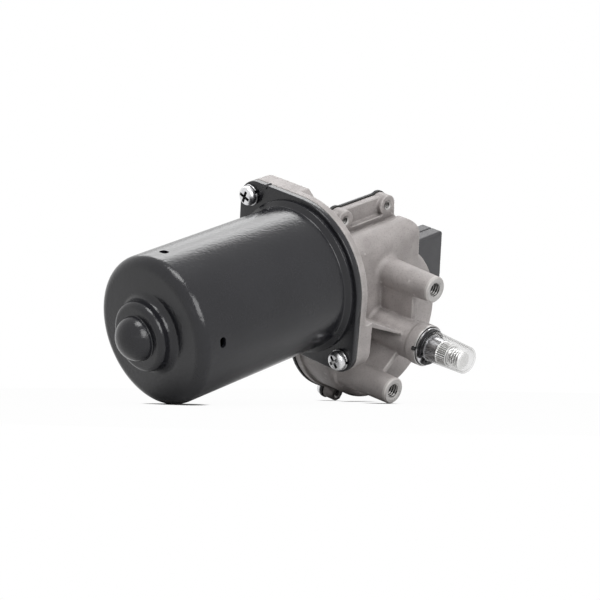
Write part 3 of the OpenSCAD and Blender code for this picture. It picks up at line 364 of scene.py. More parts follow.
copper = Finish("bare_copper", "copper", (0.72, 0.36, 0.20), 0.3, Metallic=1.0)
tarnish = copper.noise(2.5, 4)
copper.tint(tarnish.between(0.4, 0.8), (0.76, 0.40, 0.24), (0.40, 0.18, 0.09))
copper.set("Roughness", 0.22 + tarnish * 0.22)

carbon = Finish("pressed_carbon", "carbon", (0.05, 0.045, 0.042), 0.5)
carbon.tint(carbon.noise(0.3, 3).between(0.6, 0.75), (0.04, 0.038, 0.036), (0.22, 0.13, 0.09))

wire = Finish("enamelled_wire", "enamelled_wire", (0.48, 0.17, 0.06), 0.25,
              Metallic=0.5, Coat_Weight=0.6)
strands = wire.noise(0.7, 1, (1, 0.25, 0.25))
wire.tint(strands.between(0.35, 0.65), (0.26, 0.08, 0.03), (0.58, 0.23, 0.09))
wire.relief(strands, 0.15)
print("inner metals ready")

# %% [markdown]
# ## Plastics and rubber
# The connector is glass-filled nylon: dark grey, a little silky, with a fine spark-eroded grain.
# The gear wheel is pale acetal. Seals are matt rubber. The cap over the shaft is thin clear
# plastic, so nearly all light goes straight through. Looked at along its wall it turns grey, which
# the layer weight adds to its alpha, and its gloss does the rest.

# %% Opaque plastics and rubber
nylon = Finish("glass_filled_nylon", "grey_plastic", (0.075, 0.075, 0.08), 0.48,
               Specular_IOR_Level=0.36)
fibres = nylon.noise(0.45, 3)
nylon.tint(nylon.noise(6, 2), (0.062, 0.062, 0.066), (0.09, 0.09, 0.095))
nylon.set("Roughness", 0.40 + fibres * 0.16)
nylon.relief(fibres, 0.02)

acetal = Finish("pale_acetal", "gear_plastic", (0.76, 0.72, 0.60), 0.4)
acetal.tint(acetal.noise(5, 3), (0.72, 0.68, 0.56), (0.80, 0.77, 0.66))
acetal.relief(acetal.noise(0.8, 2), 0.01)

rubber = Finish("seal_rubber", "seal_rubber", (0.02, 0.02, 0.02), 0.7)
rubber.tint(rubber.noise(1.2, 4), (0.014, 0.014, 0.014), (0.034, 0.034, 0.034))
rubber.relief(rubber.noise(0.3, 2), 0.02)
print("opaque plastics ready")

# %% Clear plastic
clear = Finish("clear_plastic", "clear_plastic", (0.30, 0.29, 0.28), 0.06)
haze = clear.noise(7, 1)
slant = clear.wire("ShaderNodeLayerWeight", "Facing", None, {"Blend": 0.5})
clear.set("Alpha", 0.025 + slant ** 3 * 0.75 + haze * 0.03)
clear.set("Roughness", 0.03 + haze * 0.07)
print("clear plastic nodes", len(clear.tree.nodes))

# %% [markdown]
# ## Meshes from profiles
# Nearly every piece of a motor is turned or pressed, so nearly every mesh here starts as a profile:
# a list of corners, each with its own rounding. `rounded` turns it into a smooth line, `spin` turns
# the line about an axis, and `add_piece` lays the result down and gives it its finish and body.

# %% A profile with rounded corners
def rounded(corners, steps=6, closed=False):
    """Corners are (across, along, radius). Each is replaced by an arc of that radius."""
    line = []
    count = len(corners)
    for i, (across, along, radius) in enumerate(corners):
        here = np.array((across, along), float)
        if radius == 0 or (not closed and i in (0, count - 1)):
            line.append(tuple(here))
            continue
        before = np.array(corners[i - 1][:2], float) - here
        after = np.array(corners[(i + 1) % count][:2], float) - here
        before, after = before / np.linalg.norm(before), after / np.linalg.norm(after)
        half = math.acos(np.clip(before @ after, -1, 1)) / 2
        inward = (before + after) / np.linalg.norm(before + after)
        middle = here + inward * radius / math.sin(half)
        a = here + before * radius / math.tan(half) - middle
        b = here + after * radius / math.tan(half) - middle
        sweep = math.pi - 2 * half
        for t in np.linspace(0, 1, steps + 1):
            arc = (math.sin((1 - t) * sweep) * a + math.sin(t * sweep) * b) / math.sin(sweep)
            line.append(tuple(middle + arc))
    return line


print("a rounded corner", len(rounded([(0, 0, 0), (5, 0, 1), (5, 5, 0)])), "points")


# %% Places on circles, about the motor's axis and about the shaft's
def polar(radius, turn, centre=(0, 0)):
    return centre[0] + radius * math.cos(turn), centre[1] + radius * math.sin(turn)


SHAFT_AT = (SHAFT_X, -WORM_DROP)


def about_motor(radius, x, turn, at=(0, 0)):
    return x, *polar(radius, turn, at)


def about_shaft(radius, out, turn, at=SHAFT_AT):
    across, up = polar(radius, turn, at)
    return across, -out, up


print("shaft's end", [round(c, 4) for c in lay_down @ Vector(about_shaft(0, 61.2, 0))])


# %% Turning a profile about an axis
def spin(profile, place, segments=96, closed=False, shape=None):
    """Points and faces of a turned profile. A radius may change: shape(radius, along, turn)."""
    points, rows, faces = [], [], []
    for across, along in profile:
        if across < 1e-9:
            rows.append([len(points)] * segments)
            points.append(place(0, along, 0))
            continue
        rows.append(list(range(len(points), len(points) + segments)))
        for k in range(segments):
            turn = 2 * math.pi * k / segments
            points.append(place(shape(across, along, turn) if shape else across, along, turn))
    pairs = list(zip(rows, rows[1:] + rows[:1]))
    for a, b in pairs if closed else pairs[:-1]:
        for k in range(segments):
            n = (k + 1) % segments
            corners = [a[k], a[n], b[n], b[k]]
            face = [v for i, v in enumerate(corners) if v != corners[i - 1]]
            if len(face) > 2:
                faces.append(face)
    return points, faces


def along_shaft(profile, at=SHAFT_AT, segments=96, **more):
    return spin(profile, lambda r, o, t: about_shaft(r, o, t, at), segments, **more)


def along_motor(profile, at=(0, 0), segments=160):
    return spin(profile, lambda r, x, t: about_motor(r, x, t, at), segments)


print("a plain peg has", len(along_shaft([(0, 0), (1, 0), (1, 5), (0, 5)])[1]), "faces")

# %% A piece that lies in the frame and rides on a body
SHARP = 34


def face_outwards(mesh, weld=False):
    """Turns every face outwards, after welding doubled corners where that is asked for."""
    build = bmesh.new()
    build.from_mesh(mesh)
    if weld:
        bmesh.ops.remove_doubles(build, verts=build.verts, dist=1e-6)
    bmesh.ops.recalc_face_normals(build, faces=build.faces)
    build.to_mesh(mesh)
    build.free()


def lay_mesh(name, shape):
    points, faces = shape
    mesh = bpy.data.meshes.new(name)
    mesh.from_pydata([lay_down @ Vector(p) for p in points], [], faces)
    face_outwards(mesh)
    return mesh


def place_object(name, mesh):
    made = bpy.data.objects.new(name, mesh)
    bpy.context.scene.collection.objects.link(made)
    return made


def dress(name, mesh, finish, body, replaces=(), sharp=SHARP):
    mesh.materials.clear()
    mesh.materials.append(finish.material)
    mesh.polygons.foreach_set("use_smooth", [True] * len(mesh.polygons))
    mesh.set_sharp_from_angle(angle=math.radians(sharp))
    piece = place_object(name, mesh)
    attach(piece, body)
    if replaces:
        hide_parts(*replaces)
    print(name, len(mesh.vertices), "vertices")
    return piece


def add_piece(name, shape, finish, body, replaces=(), sharp=SHARP):
    return dress(name, lay_mesh(name, shape), finish, body, replaces, sharp)


# %% Joining and carving with solids
def add_booleans(piece, operation, shapes):
    """Hangs one boolean on a piece for each shape. The helper solids are returned."""
    helpers = [place_object("helper", lay_mesh("helper", s)) for s in shapes]
    for helper in helpers:
        tool = piece.modifiers.new("cut", "BOOLEAN")
        tool.operation, tool.solver, tool.object = operation, "EXACT", helper
    return helpers


def settle(piece, helpers=()):
    """Applies a piece's modifiers to its mesh, and removes the helpers that they used."""
    graph = bpy.context.evaluated_depsgraph_get()
    graph.update()
    done = bpy.data.meshes.new_from_object(piece.evaluated_get(graph))
    piece.modifiers.clear()
    piece.data = done
    for helper in helpers:
        bpy.data.objects.remove(helper)


def cut(piece, operation, *shapes):
    """Cuts shapes out of a piece, or joins them to it."""
    settle(piece, add_booleans(piece, operation, shapes))
    piece.data.set_sharp_from_angle(angle=math.radians(SHARP))
    return piece


# %% [markdown]
# ## The can
# The can is deep-drawn from one sheet, so every corner is a soft arc: the end corner, the bearing
# nose and the dome for the thrust ball. It is turned from one profile. The flange plate with its
# two screw ears is drawn from three circles and joined on, then the drain slots and screw holes
# are cut.

# %% The flange's outline, from three circles
FLANGE_R, FLANGE_THICK, FLANGE_ROLL = 35.5, 3.0, 0.6
EAR_R, EAR_CENTRE, EAR_ANGLE, EAR_REACH = 9.5, 35.8, 46.8, 39.9


def hull_outline(circles, inset=0.0, samples=180):
    """The outline of a band pulled round some circles (centre y, centre z, radius)."""
    line = []
    for k in range(samples):
        n = np.array(polar(1, 2 * math.pi * k / samples))
        y, z, r = max(circles, key=lambda c: n @ np.array(c[:2]) + c[2])
        line.append((y + n[0] * (r - inset), z + n[1] * (r - inset)))
    return line


ear_turns = [math.radians(EAR_ANGLE), math.radians(EAR_ANGLE + 180)]
flange_circles = [(0, 0, FLANGE_R)] + [(*polar(EAR_CENTRE, t), EAR_R) for t in ear_turns]
print("flange outline", len(hull_outline(flange_circles)), "points")


# %% A plate with rounded edges, from stacked outlines
def stack(outlines, place):
    """Outlines are (height, points). Neighbours are joined, and the first and last are closed."""
    points, faces = [], []
    count = len(outlines[0][1])
    for height, line in outlines:
        points += [place(p, height) for p in line]
    for row in range(len(outlines) - 1):
        for k in range(count):
            a, b = row * count + k, row * count + (k + 1) % count
            faces.append([a, b, b + count, a + count])
    faces.append(list(range(count)))
    faces.append(list(range(len(points) - count, len(points))))
    return points, faces


def upright_to_motor(p, x):
    return x, p[0], p[1]


def rolled_edges(low, high, radius, steps=4):
    """Heights and insets of a plate whose two edges are rounded."""
    arcs = [(low + radius - radius * math.cos(a), radius - radius * math.sin(a))
            for a in np.linspace(0, math.pi / 2, steps + 1)]
    return arcs + [(low + high - h, inset) for h, inset in reversed(arcs)]


flange_plate = stack([(x, hull_outline(flange_circles, inset))
                      for x, inset in rolled_edges(-FLANGE_THICK, 0.0, FLANGE_ROLL)],
                     upright_to_motor)
print("flange plate", len(flange_plate[0]), "points")

# %% The can's profile
CAN_R, CAN_BORE_R, CAN_END = 30.99, 29.2, -85.3
NOSE_R, NOSE_END = 14.5, -92
DOME_R, DOME_HEIGHT = 9.25, 7.99

dome = [(DOME_R * math.sin(t), NOSE_END - DOME_HEIGHT * math.cos(t))
        for t in np.linspace(0, math.pi / 2, 20)]
outside = dome[:-1] + rounded([
    (DOME_R, NOSE_END - 0.2, 0), (DOME_R, NOSE_END, 0.4), (NOSE_R, NOSE_END, 2.6),
    (NOSE_R, CAN_END, 3.0), (CAN_R, CAN_END, 5.0), (CAN_R, -5.6, 0.8), (33.3, -4.3, 0.5),
    (33.6, -2.0, 0), (33.0, -1.0, 0)], 10)
inside = rounded([
    (CAN_BORE_R, -1.0, 0), (CAN_BORE_R, -83.5, 3.2), (12.7, -83.5, 1.0), (12.7, -90.2, 2.2),
    (7.45, -90.2, 0.4), (7.4, -94.0, 3.0), (0, -98.2, 0)], 6)
print("can profile", len(outside) + len(inside), "points")

# %% The can, turned and joined to its flange
can = add_piece("can_shell", along_motor(outside + inside), paint, "motor_body", ["motor_can"])
stake_at = (EAR_CENTRE * math.cos(ear_turns[0]) - 5.5, FLANGE_R - 0.55)
stake = along_motor(rounded([(0, -3.4, 0), (1.1, -3.4, 0.3), (1.1, -0.02, 0), (0, -0.02, 0)], 4),
                    stake_at, 32)
cut(can, "UNION", flange_plate, stake)
print("can and flange", len(can.data.polygons), "faces")

# %% Its bore, screw holes and drain slots
SLOT_X, SLOT_HALF_LEN, SLOT_HALF_W = -74.5, 0.7, 1.5
EAR_HOLE_R = 2.75


def slot_solid(turn):
    """A round-ended bar that stands through the can's wall."""
    ring = []
    for k in range(24):
        across, along = polar(SLOT_HALF_W, 2 * math.pi * k / 24)
        ring.append((across, along + (SLOT_HALF_LEN if along > 0 else -SLOT_HALF_LEN)))

    def place(p, r):
        return (SLOT_X + p[0], r * math.cos(turn) - p[1] * math.sin(turn),
                r * math.sin(turn) + p[1] * math.cos(turn))
    return stack([(27.0, ring), (33.5, ring)], place)


bore = along_motor([(0, -6), (CAN_BORE_R, -6), (CAN_BORE_R, 2), (0, 2)])
ear_holes = [along_motor([(0, -6), (EAR_HOLE_R, -6), (EAR_HOLE_R, 3), (0, 3)],
                         polar(EAR_REACH, t), 32) for t in ear_turns]
slots = [slot_solid(math.radians(t)) for t in (84, 174, 264, 354)]
cut(can, "DIFFERENCE", bore, *ear_holes, *slots)
print("can", len(can.data.polygons), "faces")

# %% [markdown]
# ## Screws
# The can is held by two pan-head screws with a cross recess, each on a split spring washer. The
# head is turned, and the recess is cut with a tapered cross, as the punch makes it.

# %% A pan-head screw with a cross recess
def cross_outline(span, wing):
    s, w = span / 2, wing / 2
    return [(s, w), (w, w), (w, s), (-w, s), (-w, w), (-s, w),
            (-s, -w), (-w, -w), (-w, -s), (w, -s), (w, -w), (s, -w)]


def pan_screw(name, place, turn, head_r, head_h, shank_r, length):
    """The head's seat is at height 0, its top at -head_h. Place lays (height, a, b) down."""
    profile = rounded([(0, -head_h, 0), (head_r, -head_h, head_h * 0.62), (head_r, 0, 0.25),
                       (shank_r, 0, 0.15), (shank_r, length - 0.8, 0),
                       (shank_r - 0.8, length, 0), (0, length, 0)], 6)
    turned_screw = spin(profile, lambda r, h, t: place(h, *polar(r, t)), 48)
    screw = add_piece(name, turned_screw, zinc, "motor_body")
    c, s = math.cos(turn), math.sin(turn)
    cross = stack([(-head_h - 0.4, cross_outline(head_r * 1.36, head_r * 0.34)),
                   (-head_h + 1.1, cross_outline(head_r * 1.2, head_r * 0.3)),
                   (-head_h + 2.2, cross_outline(head_r * 0.6, head_r * 0.22))],
                  lambda p, h: place(h, p[0] * c - p[1] * s, p[0] * s + p[1] * c))
    return cut(screw, "DIFFERENCE", cross)


# %% An open sweep, and the split spring washer made from it
def sweep(sections):
    """Joins sections of equal length one after the other, and closes the first and the last."""
    n, steps = len(sections[0]), len(sections) - 1
    faces = [[k * n + j, k * n + (j + 1) % n, (k + 1) * n + (j + 1) % n, (k + 1) * n + j]
             for k in range(steps) for j in range(n)]
    ends = [list(range(n)), list(range(steps * n, (steps + 1) * n))]
    return [p for section in sections for p in section], faces + ends


def spring_washer(name, place, split, inner=2.7, outer=4.55, low=-4.15, high=-3.1):
    """A square-section ring with a gap, twisted a little so that its ends stand apart."""
    steps, gap, rise, edge = 44, math.radians(9), 0.12, 0.12
    section = rounded([(inner, low, edge), (outer, low, edge),
                       (outer, high, edge), (inner, high, edge)], 2, closed=True)
    sections = []
    for k in range(steps + 1):
        turn = split + gap + (2 * math.pi - 2 * gap) * k / steps
        lift = rise * (k / steps - 0.5)
        sections.append([place(h + lift, *polar(r, turn)) for r, h in section])
    return add_piece(name, sweep(sections), zinc, "motor_body")


# %% The two flange screws and their washers
FLANGE_SCREW = dict(head_r=4.2, head_h=3.0, shank_r=2.4, length=10)
FLANGE_SCREW_SEAT = 4.26


def on_flange(centre, seat=0.0):
    return lambda h, a, b: (h - seat, centre[0] + a, centre[1] + b)


for label, turn, twist in (("upper", ear_turns[0], 0.35), ("lower", ear_turns[1], 0.9)):
    centre = polar(EAR_REACH, turn)
    screw = pan_screw(f"{label}_flange_screw", on_flange(centre, FLANGE_SCREW_SEAT), twist,
                      **FLANGE_SCREW)
    washer = spring_washer(f"{label}_spring_washer", on_flange(centre), twist + 2.2)
    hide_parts("flange_screws")
    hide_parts("flange_washers")

# %% [markdown]
# ## Soft castings and mouldings
# A casting has no sharp corner anywhere: the die's edges are rounded, and inner corners have
# fillets so that the metal flows. Rounding each edge of so complex a solid by hand is slow and
# breaks easily. Instead a copy of the CAD solid is rebuilt from small cubes and smoothed, so that
# every edge and corner rounds by about the same radius, as in the real die.

# %% Smoothing that doesn't shrink
def smooth(mesh, passes, share=0.55, back=0.96, last=0.3):
    """Moves each vertex towards the middle of its neighbours and most of the way back.

    The step back keeps the solid from shrinking, so only corners and steps are rounded."""
    count = len(mesh.vertices)
    points = np.zeros(count * 3)
    mesh.vertices.foreach_get("co", points)
    points = points.reshape(-1, 3)
    edges = np.zeros(len(mesh.edges) * 2, int)
    mesh.edges.foreach_get("vertices", edges)
    a, b = edges.reshape(-1, 2).T
    degree = np.bincount(a, minlength=count) + np.bincount(b, minlength=count)
    for step in [share, -share * back] * passes + [last]:
        total = np.stack([np.bincount(a, points[b, i], count) + np.bincount(b, points[a, i], count)
                          for i in range(3)], 1)
        points += step * (total / np.maximum(degree, 1)[:, None] - points)
    mesh.vertices.foreach_set("co", points.ravel())
    mesh.update()


# %% Rebuild and smooth a copy of a CAD solid
SOFT_SHARP = 60


def soften(name, node, finish, cube_mm, passes, keep, cutters=()):
    """Keep is the share of the faces that stay after smoothing."""
    mesh = nodes[node].data.copy()
    face_outwards(mesh, weld=True)
    piece = place_object(name, mesh)
    helpers = add_booleans(piece, "DIFFERENCE", cutters)
    cubes = piece.modifiers.new("cubes", "REMESH")
    cubes.mode, cubes.use_smooth_shade = "VOXEL", True
    cubes.voxel_size = cube_mm / 1000
    settle(piece, helpers)
    smooth(piece.data, passes)
    fewer = piece.modifiers.new("fewer", "DECIMATE")
    fewer.ratio = keep
    settle(piece)
    mesh = piece.data
    bpy.data.objects.remove(piece)
    return dress(name, mesh, finish, "motor_body", [node], SOFT_SHARP)


# %% The gear housing
POST_REACH, POST_OUT, POST_BORE_R, BOSS_OUT = 25, 40.2, 3.9, 41.2
POSTS = [polar(POST_REACH, math.radians(a), SHAFT_AT) for a in (80, 217.5)]


def beside_rib(along, above):
    """A place given along the rib from the flange to the boss, and above its middle."""
    return 3.4 + 0.868 * along + 0.496 * above, -12 - 0.496 * along + 0.868 * above


post_bores = [along_shaft([(0, 17), (POST_BORE_R, 17), (POST_BORE_R, 44), (0, 44)], post, 48)
              for post in POSTS]
rib_end = [beside_rib(4, -1.3), beside_rib(30.4, 0.3), beside_rib(30.4, -4), beside_rib(4, -4)]
rib_wedge = stack([(14, rib_end), (34, rib_end)], lambda p, out: (p[0], -out, p[1]))
soften("cast_housing", "gear_housing", casting, 0.42, 3, 0.6, [*post_bores, rib_wedge])

# %% [markdown]
# ## Cut faces and threads
# Only a few faces of the casting are machined: the posts' ends with their tapped holes, and the end
# of the output boss. Each gets a thin turned skin of its own, so that its edge stays crisp.

# %% Threads as ripples
def thread_ridge(along, turn, pitch, foot):
    """1 on a thread's crest and 0 in its groove. The foot sets how wide the groove is."""
    phase = (along / pitch - turn / (2 * math.pi)) % 1
    return min(1.0, max(0.0, 2.4 * abs(2 * phase - 1) - foot))


def inner_thread(radius, depth, pitch, start, end, fade=0.15):
    """A hole's radius at each place: the crest is the given radius and the groove lies deeper."""
    def shape(across, along, turn):
        if abs(across - radius) > 1e-6 or not start <= along <= end:
            return across
        ends = min(1.0, (along - start) / fade, (end - along) / fade)
        return across + depth * (1 - thread_ridge(along, turn, pitch, 0.7)) * max(0.0, ends)
    return shape


def tapped_hole(name, centre, front, mouth_r, crest_r, groove, pitch, depth):
    """A thin threaded sleeve whose countersink starts at the front."""
    top, outer, bottom = front - (mouth_r - crest_r) * 0.5, crest_r + groove + 0.08, front - depth
    rows = [(crest_r, o) for o in np.arange(top, bottom, -pitch / 8)]
    profile = [(mouth_r, front + 0.03)] + rows + [(outer, bottom), (outer, top)]
    sleeve = along_shaft(profile, centre, 64, closed=True,
                         shape=inner_thread(crest_r, groove, pitch, bottom, top))
    return add_piece(name, sleeve, threads_with_painted_shade, "motor_body", sharp=50)


# %% The posts' ends
POST_THREAD = dict(mouth_r=3.95, crest_r=3.0, groove=0.6, pitch=1.25, depth=12)
bevel = [(5.1, POST_OUT - 0.2), (5.2, POST_OUT + 0.02), (5.80, POST_OUT - 0.58),
         (5.84, POST_OUT - 1.5), (5.4, POST_OUT - 1.5)]
end_face = [(3.9, POST_OUT - 0.3), (3.9, POST_OUT + 0.03),
            (5.15, POST_OUT + 0.04), (5.15, POST_OUT - 0.3)]
for label, post in zip(("upper", "lower"), POSTS):
    tapped_hole(f"{label}_post_thread", post, POST_OUT, **POST_THREAD)
    for part, ring, finish in (("bevel", bevel, casting), ("face", end_face, cut_metal)):
        add_piece(f"{label}_post_{part}", along_shaft(ring, post, 64, closed=True),
                  finish, "motor_body")

# %% The boss's turned end, open where its plier notch is
NOTCH, NOTCH_HALF, RIM_STEPS = math.radians(170), math.radians(6), 96
rim = rounded([(9.18, BOSS_OUT - 0.6, 0), (9.18, BOSS_OUT + 0.03, 0.15),
               (8.62, BOSS_OUT + 0.03, 0.1), (8.62, BOSS_OUT - 0.6, 0)], 3, closed=True)
rim_start, rim_end = NOTCH + NOTCH_HALF, NOTCH - NOTCH_HALF + 2 * math.pi
rim_turns = [rim_start + (rim_end - rim_start) * k / RIM_STEPS for k in range(RIM_STEPS + 1)]
add_piece("boss_end", sweep([[about_shaft(r, o, t) for r, o in rim] for t in rim_turns]),
          cut_metal, "motor_body")

# %% [markdown]
# ## The crank shaft's end
# The crank sits on a tapered seat with a straight knurl, and a nut pulls it down on an M8 thread.
# Both are real shapes here: the spin function asks `shape` for the radius at every angle, so the
# knurl is a ripple round the shaft and the thread a ripple that climbs along it. The shaft is drawn
# as two pieces, because its turned neck is much darker than its rolled end.

# %% The knurl's teeth and the thread
CLIP_OUT, CLIP_WIDE = BOSS_OUT + 1.1, 1.1
KNURL_OUT, THREAD_OUT, SHAFT_END = 49.6, 54.8, 61.2
KNURLS, KNURL_DEPTH = 32, 0.6
CRANK_PITCH, CRANK_GROOVE = 1.25, 0.68
KNURL_END, THREAD_FROM, THREAD_TO = THREAD_OUT - 0.6, THREAD_OUT + 0.2, SHAFT_END - 0.3


def rolled_skin(across, along, turn):
    if KNURL_OUT <= along <= KNURL_END:
        tooth = abs((turn * KNURLS / (2 * math.pi)) % 1 - 0.5) * 2
        fade = min(1, (along - KNURL_OUT) / 0.3, (KNURL_END - along) / 0.3)
        return across - KNURL_DEPTH * tooth * fade
    if THREAD_FROM <= along <= THREAD_TO:
        fade = min(1, (along - THREAD_FROM) / 0.3, (THREAD_TO - along) / 0.4)
        return across - CRANK_GROOVE * (1 - thread_ridge(along, turn, CRANK_PITCH, 0.6)) * fade
    return across


# %% The turned shaft and its rolled end
SHAFT_R, CLIP_GROOVE_R, NECK_R, KNURL_R, THREAD_R = 6.0, 5.7, 5.4, 5.2, 4.0
KNURL_TAPER = 0.09
turned_profile = [
    (0, -6.0), (5.5, -6.0), (SHAFT_R, -5.5), (SHAFT_R, 12.0), (SHAFT_R, CLIP_OUT),
    (CLIP_GROOVE_R, CLIP_OUT), (CLIP_GROOVE_R, CLIP_OUT + CLIP_WIDE),
    (SHAFT_R, CLIP_OUT + CLIP_WIDE), (SHAFT_R, CLIP_OUT + 1.4), (NECK_R, CLIP_OUT + 1.55),
    (NECK_R, SEAT_OUT), (5.23, KNURL_OUT - 0.1), (4.4, KNURL_OUT), (0, KNURL_OUT)]
knurl_rows = [(KNURL_R - KNURL_TAPER * (o - KNURL_OUT), o)
              for o in np.arange(KNURL_OUT, THREAD_OUT - 0.5, 0.15)]
thread_rows = [(THREAD_R, o) for o in np.arange(THREAD_OUT, SHAFT_END - 0.5, 0.13)]
rolled_profile = [
    (0, KNURL_OUT - 0.4), (4.2, KNURL_OUT - 0.4), (KNURL_R, KNURL_OUT - 0.05), *knurl_rows,
    (4.6, THREAD_OUT - 0.4), (3.9, THREAD_OUT - 0.2), *thread_rows,
    (3.9, SHAFT_END - 0.35), (3.2, SHAFT_END - 0.02), (2.6, SHAFT_END), (0, SHAFT_END)]
add_piece("crank_shaft", along_shaft(turned_profile), turned_steel, "output",
          ["output_shaft"], sharp=30)
add_piece("crank_seat", along_shaft(rolled_profile, segments=288, shape=rolled_skin),
          rolled_steel, "output", ["output_shaft"], sharp=30)

# %% [markdown]
# ## The clear cap
# The cap is a thin-walled thimble that sits loosely over the shaft's end, a little to one side. It
# widens towards its open rim, so that it comes out of its mould, and its edges are rounded.

# %% The cap as a turned thimble
CAP_LEAN, CAP_SHIFT = math.radians(57.7), 0.7
CAP_START, CAP_END = CLIP_OUT + 1.5, SHAFT_END + 1.5
cap_profile = rounded([(0, CAP_END, 0), (5.4, CAP_END, 1.0), (6.25, CAP_START, 0.2),
                       (6.75, CAP_START, 0.2), (5.9, CAP_END + 0.5, 1.3),
                       (0, CAP_END + 0.5, 0)], 8)
add_piece("cap_shell", along_shaft(cap_profile, polar(CAP_SHIFT, CAP_LEAN, SHAFT_AT)),
          clear, "cap", ["shaft_cap"])

# %% [markdown]
# ## Connector and cover
# The connector is moulded, with small even radii, and the cover is pressed from sheet, with larger
# ones. Both come from their CAD solids in the same way as the casting, with finer or coarser
# smoothing. The connector also gets the groove on its top and the step under its front edge.

# %% The connector and the cover
groove_end = [(4.3, -5.7), (5.0, -5.7), (5.0, -4), (4.3, -4)]
top_groove = stack([(60, groove_end), (92, groove_end)], upright_to_motor)
front_step = stack([(60, [(-1.6, -6.1), (-0.2, -6.1), (-1.0, -9.6), (-1.6, -9.6)]),
                    (89.6, [(-1.6, -6.1), (-0.5, -6.1), (-1.0, -7.6), (-1.6, -7.6)])],
                   upright_to_motor)
soften("moulded_connector", "connector_shell", nylon, 0.28, 2, 0.5, [top_groove, front_step])
soften("pressed_cover", "gear_cover", paint, 0.4, 4, 0.5)

# %% Cover screws, and the threaded lugs that they sit in
COVER_FACE, LUG_FRONT = 9.26, -1.4
CASE_AT, CASE_LUG_REACH = (SHAFT_X + 2.6, -WORM_DROP + 0.3), 37.75
COVER_SCREW = dict(head_r=3.5, head_h=2.4, shank_r=1.6, length=5.1)
LUG_THREAD = dict(mouth_r=2.1, crest_r=1.4, groove=0.26, pitch=0.7, depth=2.6)
LUGS = [(55.4, 16.1), (28.5, 16.1)]
LUGS += [polar(CASE_LUG_REACH, math.radians(a), CASE_AT) for a in (250.8, 320)]


def on_cover(centre):
    return lambda h, a, b: (centre[0] + a, COVER_FACE - h, centre[1] + b)


for i, lug in enumerate(LUGS):
    screw = pan_screw(f"cover_screw_{i + 1}", on_cover(lug), 0.4 + i, **COVER_SCREW)
    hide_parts("cover_screws")
    tapped_hole(f"lug_thread_{i + 1}", lug, LUG_FRONT, **LUG_THREAD)

# %% [markdown]
# ## Finishes for the CAD solids
# The pieces inside, the seals, the circlip and its washer already have their true shape and stay as
# CAD solids. They take their finish through their material slots. The solids that a finer piece
# stands for take the same finish as that piece.

# %% Dress the CAD solids
finish_of = {
    paint: "motor_can gear_cover",
    casting: "gear_housing",
    zinc: "flange_screws flange_washers cover_screws outer_thrust_washer",
    turned_steel: "output_shaft",
    ground_steel: "bush_retainer thrust_ball drive_end_bearing drive_plate "
                  "inner_thrust_washer armature_shaft",
    spring_steel: "brush_springs circlip",
    lamination: "armature_core",
    ferrite: "magnets",
    bronze: "nose_bush worm_end_bush rear_shaft_bush front_shaft_bush",
    copper: "connector_pins park_contacts park_disc commutator",
    carbon: "brushes",
    wire: "windings",
    nylon: "connector_shell brush_card contact_carrier",
    acetal: "worm_wheel",
    rubber: "shaft_seal cover_gasket",
    clear: "shaft_cap",
}
dressed = set()
for finish, names in finish_of.items():
    for name in names.split():
        dressed.add(name)
        for slot in nodes[name].material_slots:
            slot.material = finish.material
print("dressed", len(dressed), "solids; left over:", sorted(set(nodes) - dressed))

# %% [markdown]
# ## Floor, light and background
# The photograph has a white background and only thin shadows under the three points that the motor
# rests on. The floor glows a little by itself, so it stays white, and it stops glowing close under
# the motor, where the shadows are. Reflections see a wider shadow, as the paint does in the photo.

# %% The floor
FLOOR_REACH, NEAR, FAR = 4, 0.15, 0.32

low = min(cad_box[0][2], cad_box[1][2])
corners = [(x * FLOOR_REACH, y * FLOOR_REACH, low) for x, y in ((-1, -1), (1, -1), (1, 1), (-1, 1))]
floor_mesh = bpy.data.meshes.new("floor")
floor_mesh.from_pydata(corners, [], [(0, 1, 2, 3)])
floor = place_object("floor", floor_mesh)
print("floor at", low)

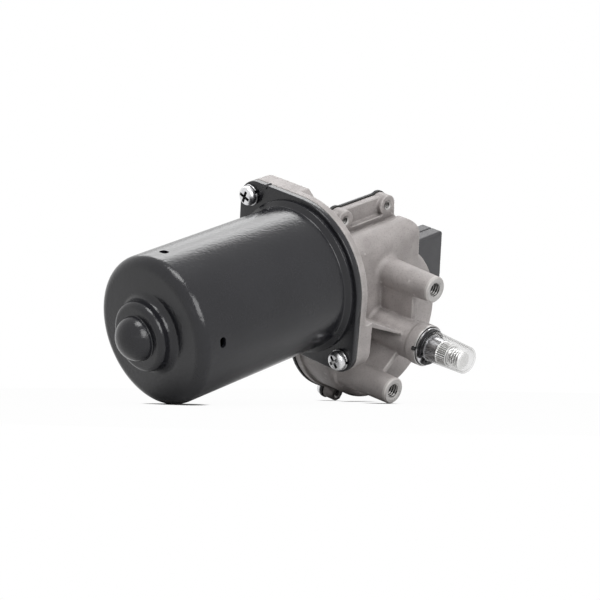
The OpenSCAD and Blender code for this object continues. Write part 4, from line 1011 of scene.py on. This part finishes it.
# %% Its glow and its shadows
pale = Finish("pale_floor", None, (0.72, 0.72, 0.72), 0.9, Specular_IOR_Level=0.0)
spot = pale.wire("ShaderNodeTexCoord", "Object")
away = pale.wire("ShaderNodeVectorMath", "Value", {"operation": "LENGTH"}, {0: spot})
contact_shadow = pale.open_air(5, 0.45, 0.85, samples=8) * 0.97
mirror_shadow = pale.open_air(36, 0.3, 0.8, samples=8)
glowing = (pale.shown_to("Is Camera Ray", "Is Transmission Ray")
           * contact_shadow.biggest(away.between(NEAR, FAR))
           + pale.shown_to("Is Glossy Ray") * mirror_shadow)
glow = pale.wire("ShaderNodeEmission", 0, None, {"Color": (1, 1, 1, 1), "Strength": 1.0})
surface = pale.wire("ShaderNodeMixShader", 0, None,
                    {0: glowing, 1: Wire(pale, pale.shader.outputs[0]), 2: glow})
pale.feed(pale.tree.nodes["Material Output"].inputs["Surface"], surface)
floor_mesh.materials.append(pale.material)
print("floor nodes", len(pale.tree.nodes))

# %% [markdown]
# ## The world and the lamps
# The world is white to the camera, to reflections and through clear plastic, and gives only a faint
# even light otherwise. Two long panels above and behind the can make the broad grey band along its
# top. A key light from straight above shapes the casting, a window light from the front lights the
# faces that look at the viewer, and a weak fill light opens the shadows on the left.

# %% The world
FAINT = 0.09

world = bpy.data.worlds.new("studio")
bpy.context.scene.world = world
world.use_nodes = True
sky = Tree(world.node_tree)
shown = sky.shown_to("Is Camera Ray", "Is Transmission Ray", "Is Glossy Ray")
strength = sky.wire("ShaderNodeMapRange", 0, None, {"Value": shown, "To Min": FAINT, "To Max": 1.0})
background = sky.tree.nodes["Background"]
sky.feed(background.inputs["Color"], (1, 1, 1, 1))
sky.feed(background.inputs["Strength"], strength)
print("world nodes", len(sky.tree.nodes))

# %% The lamps
LAMP_AWAY = 900
CAN_MIDDLE = Vector((-40, 0, 0))


def lamp(name, direction, size, power):
    """A soft panel that looks at the can's middle, from a direction of the drawing."""
    light = bpy.data.lights.new(name, "AREA")
    light.shape, light.size, light.size_y, light.energy = "RECTANGLE", size[0], size[1], power
    holder = place_object(name, light)
    target = lay_down @ CAN_MIDDLE
    place = lay_down @ (CAN_MIDDLE + LAMP_AWAY * Vector(direction).normalized())
    holder.location = place
    holder.rotation_euler = (target - place).to_track_quat("-Z", "Y").to_euler()


def beside_can(turn):
    """A direction at this height round the can's axis, in degrees, and somewhat to the right."""
    return 0.63, *polar(0.777, math.radians(turn))


lamp("overhead", beside_can(46), (0.62, 0.2), 1.8)
lamp("behind", beside_can(22), (0.62, 0.36), 1.3)
lamp("key", (0.05, 0.05, 1), (0.4, 0.4), 3.5)
lamp("window", (-0.08, -0.77, 0.66), (0.5, 0.55), 4.4)
lamp("fill", (-0.8, -0.5, 0.1), (0.6, 0.6), 1.1)
bpy.context.scene.view_settings.view_transform = "Standard"
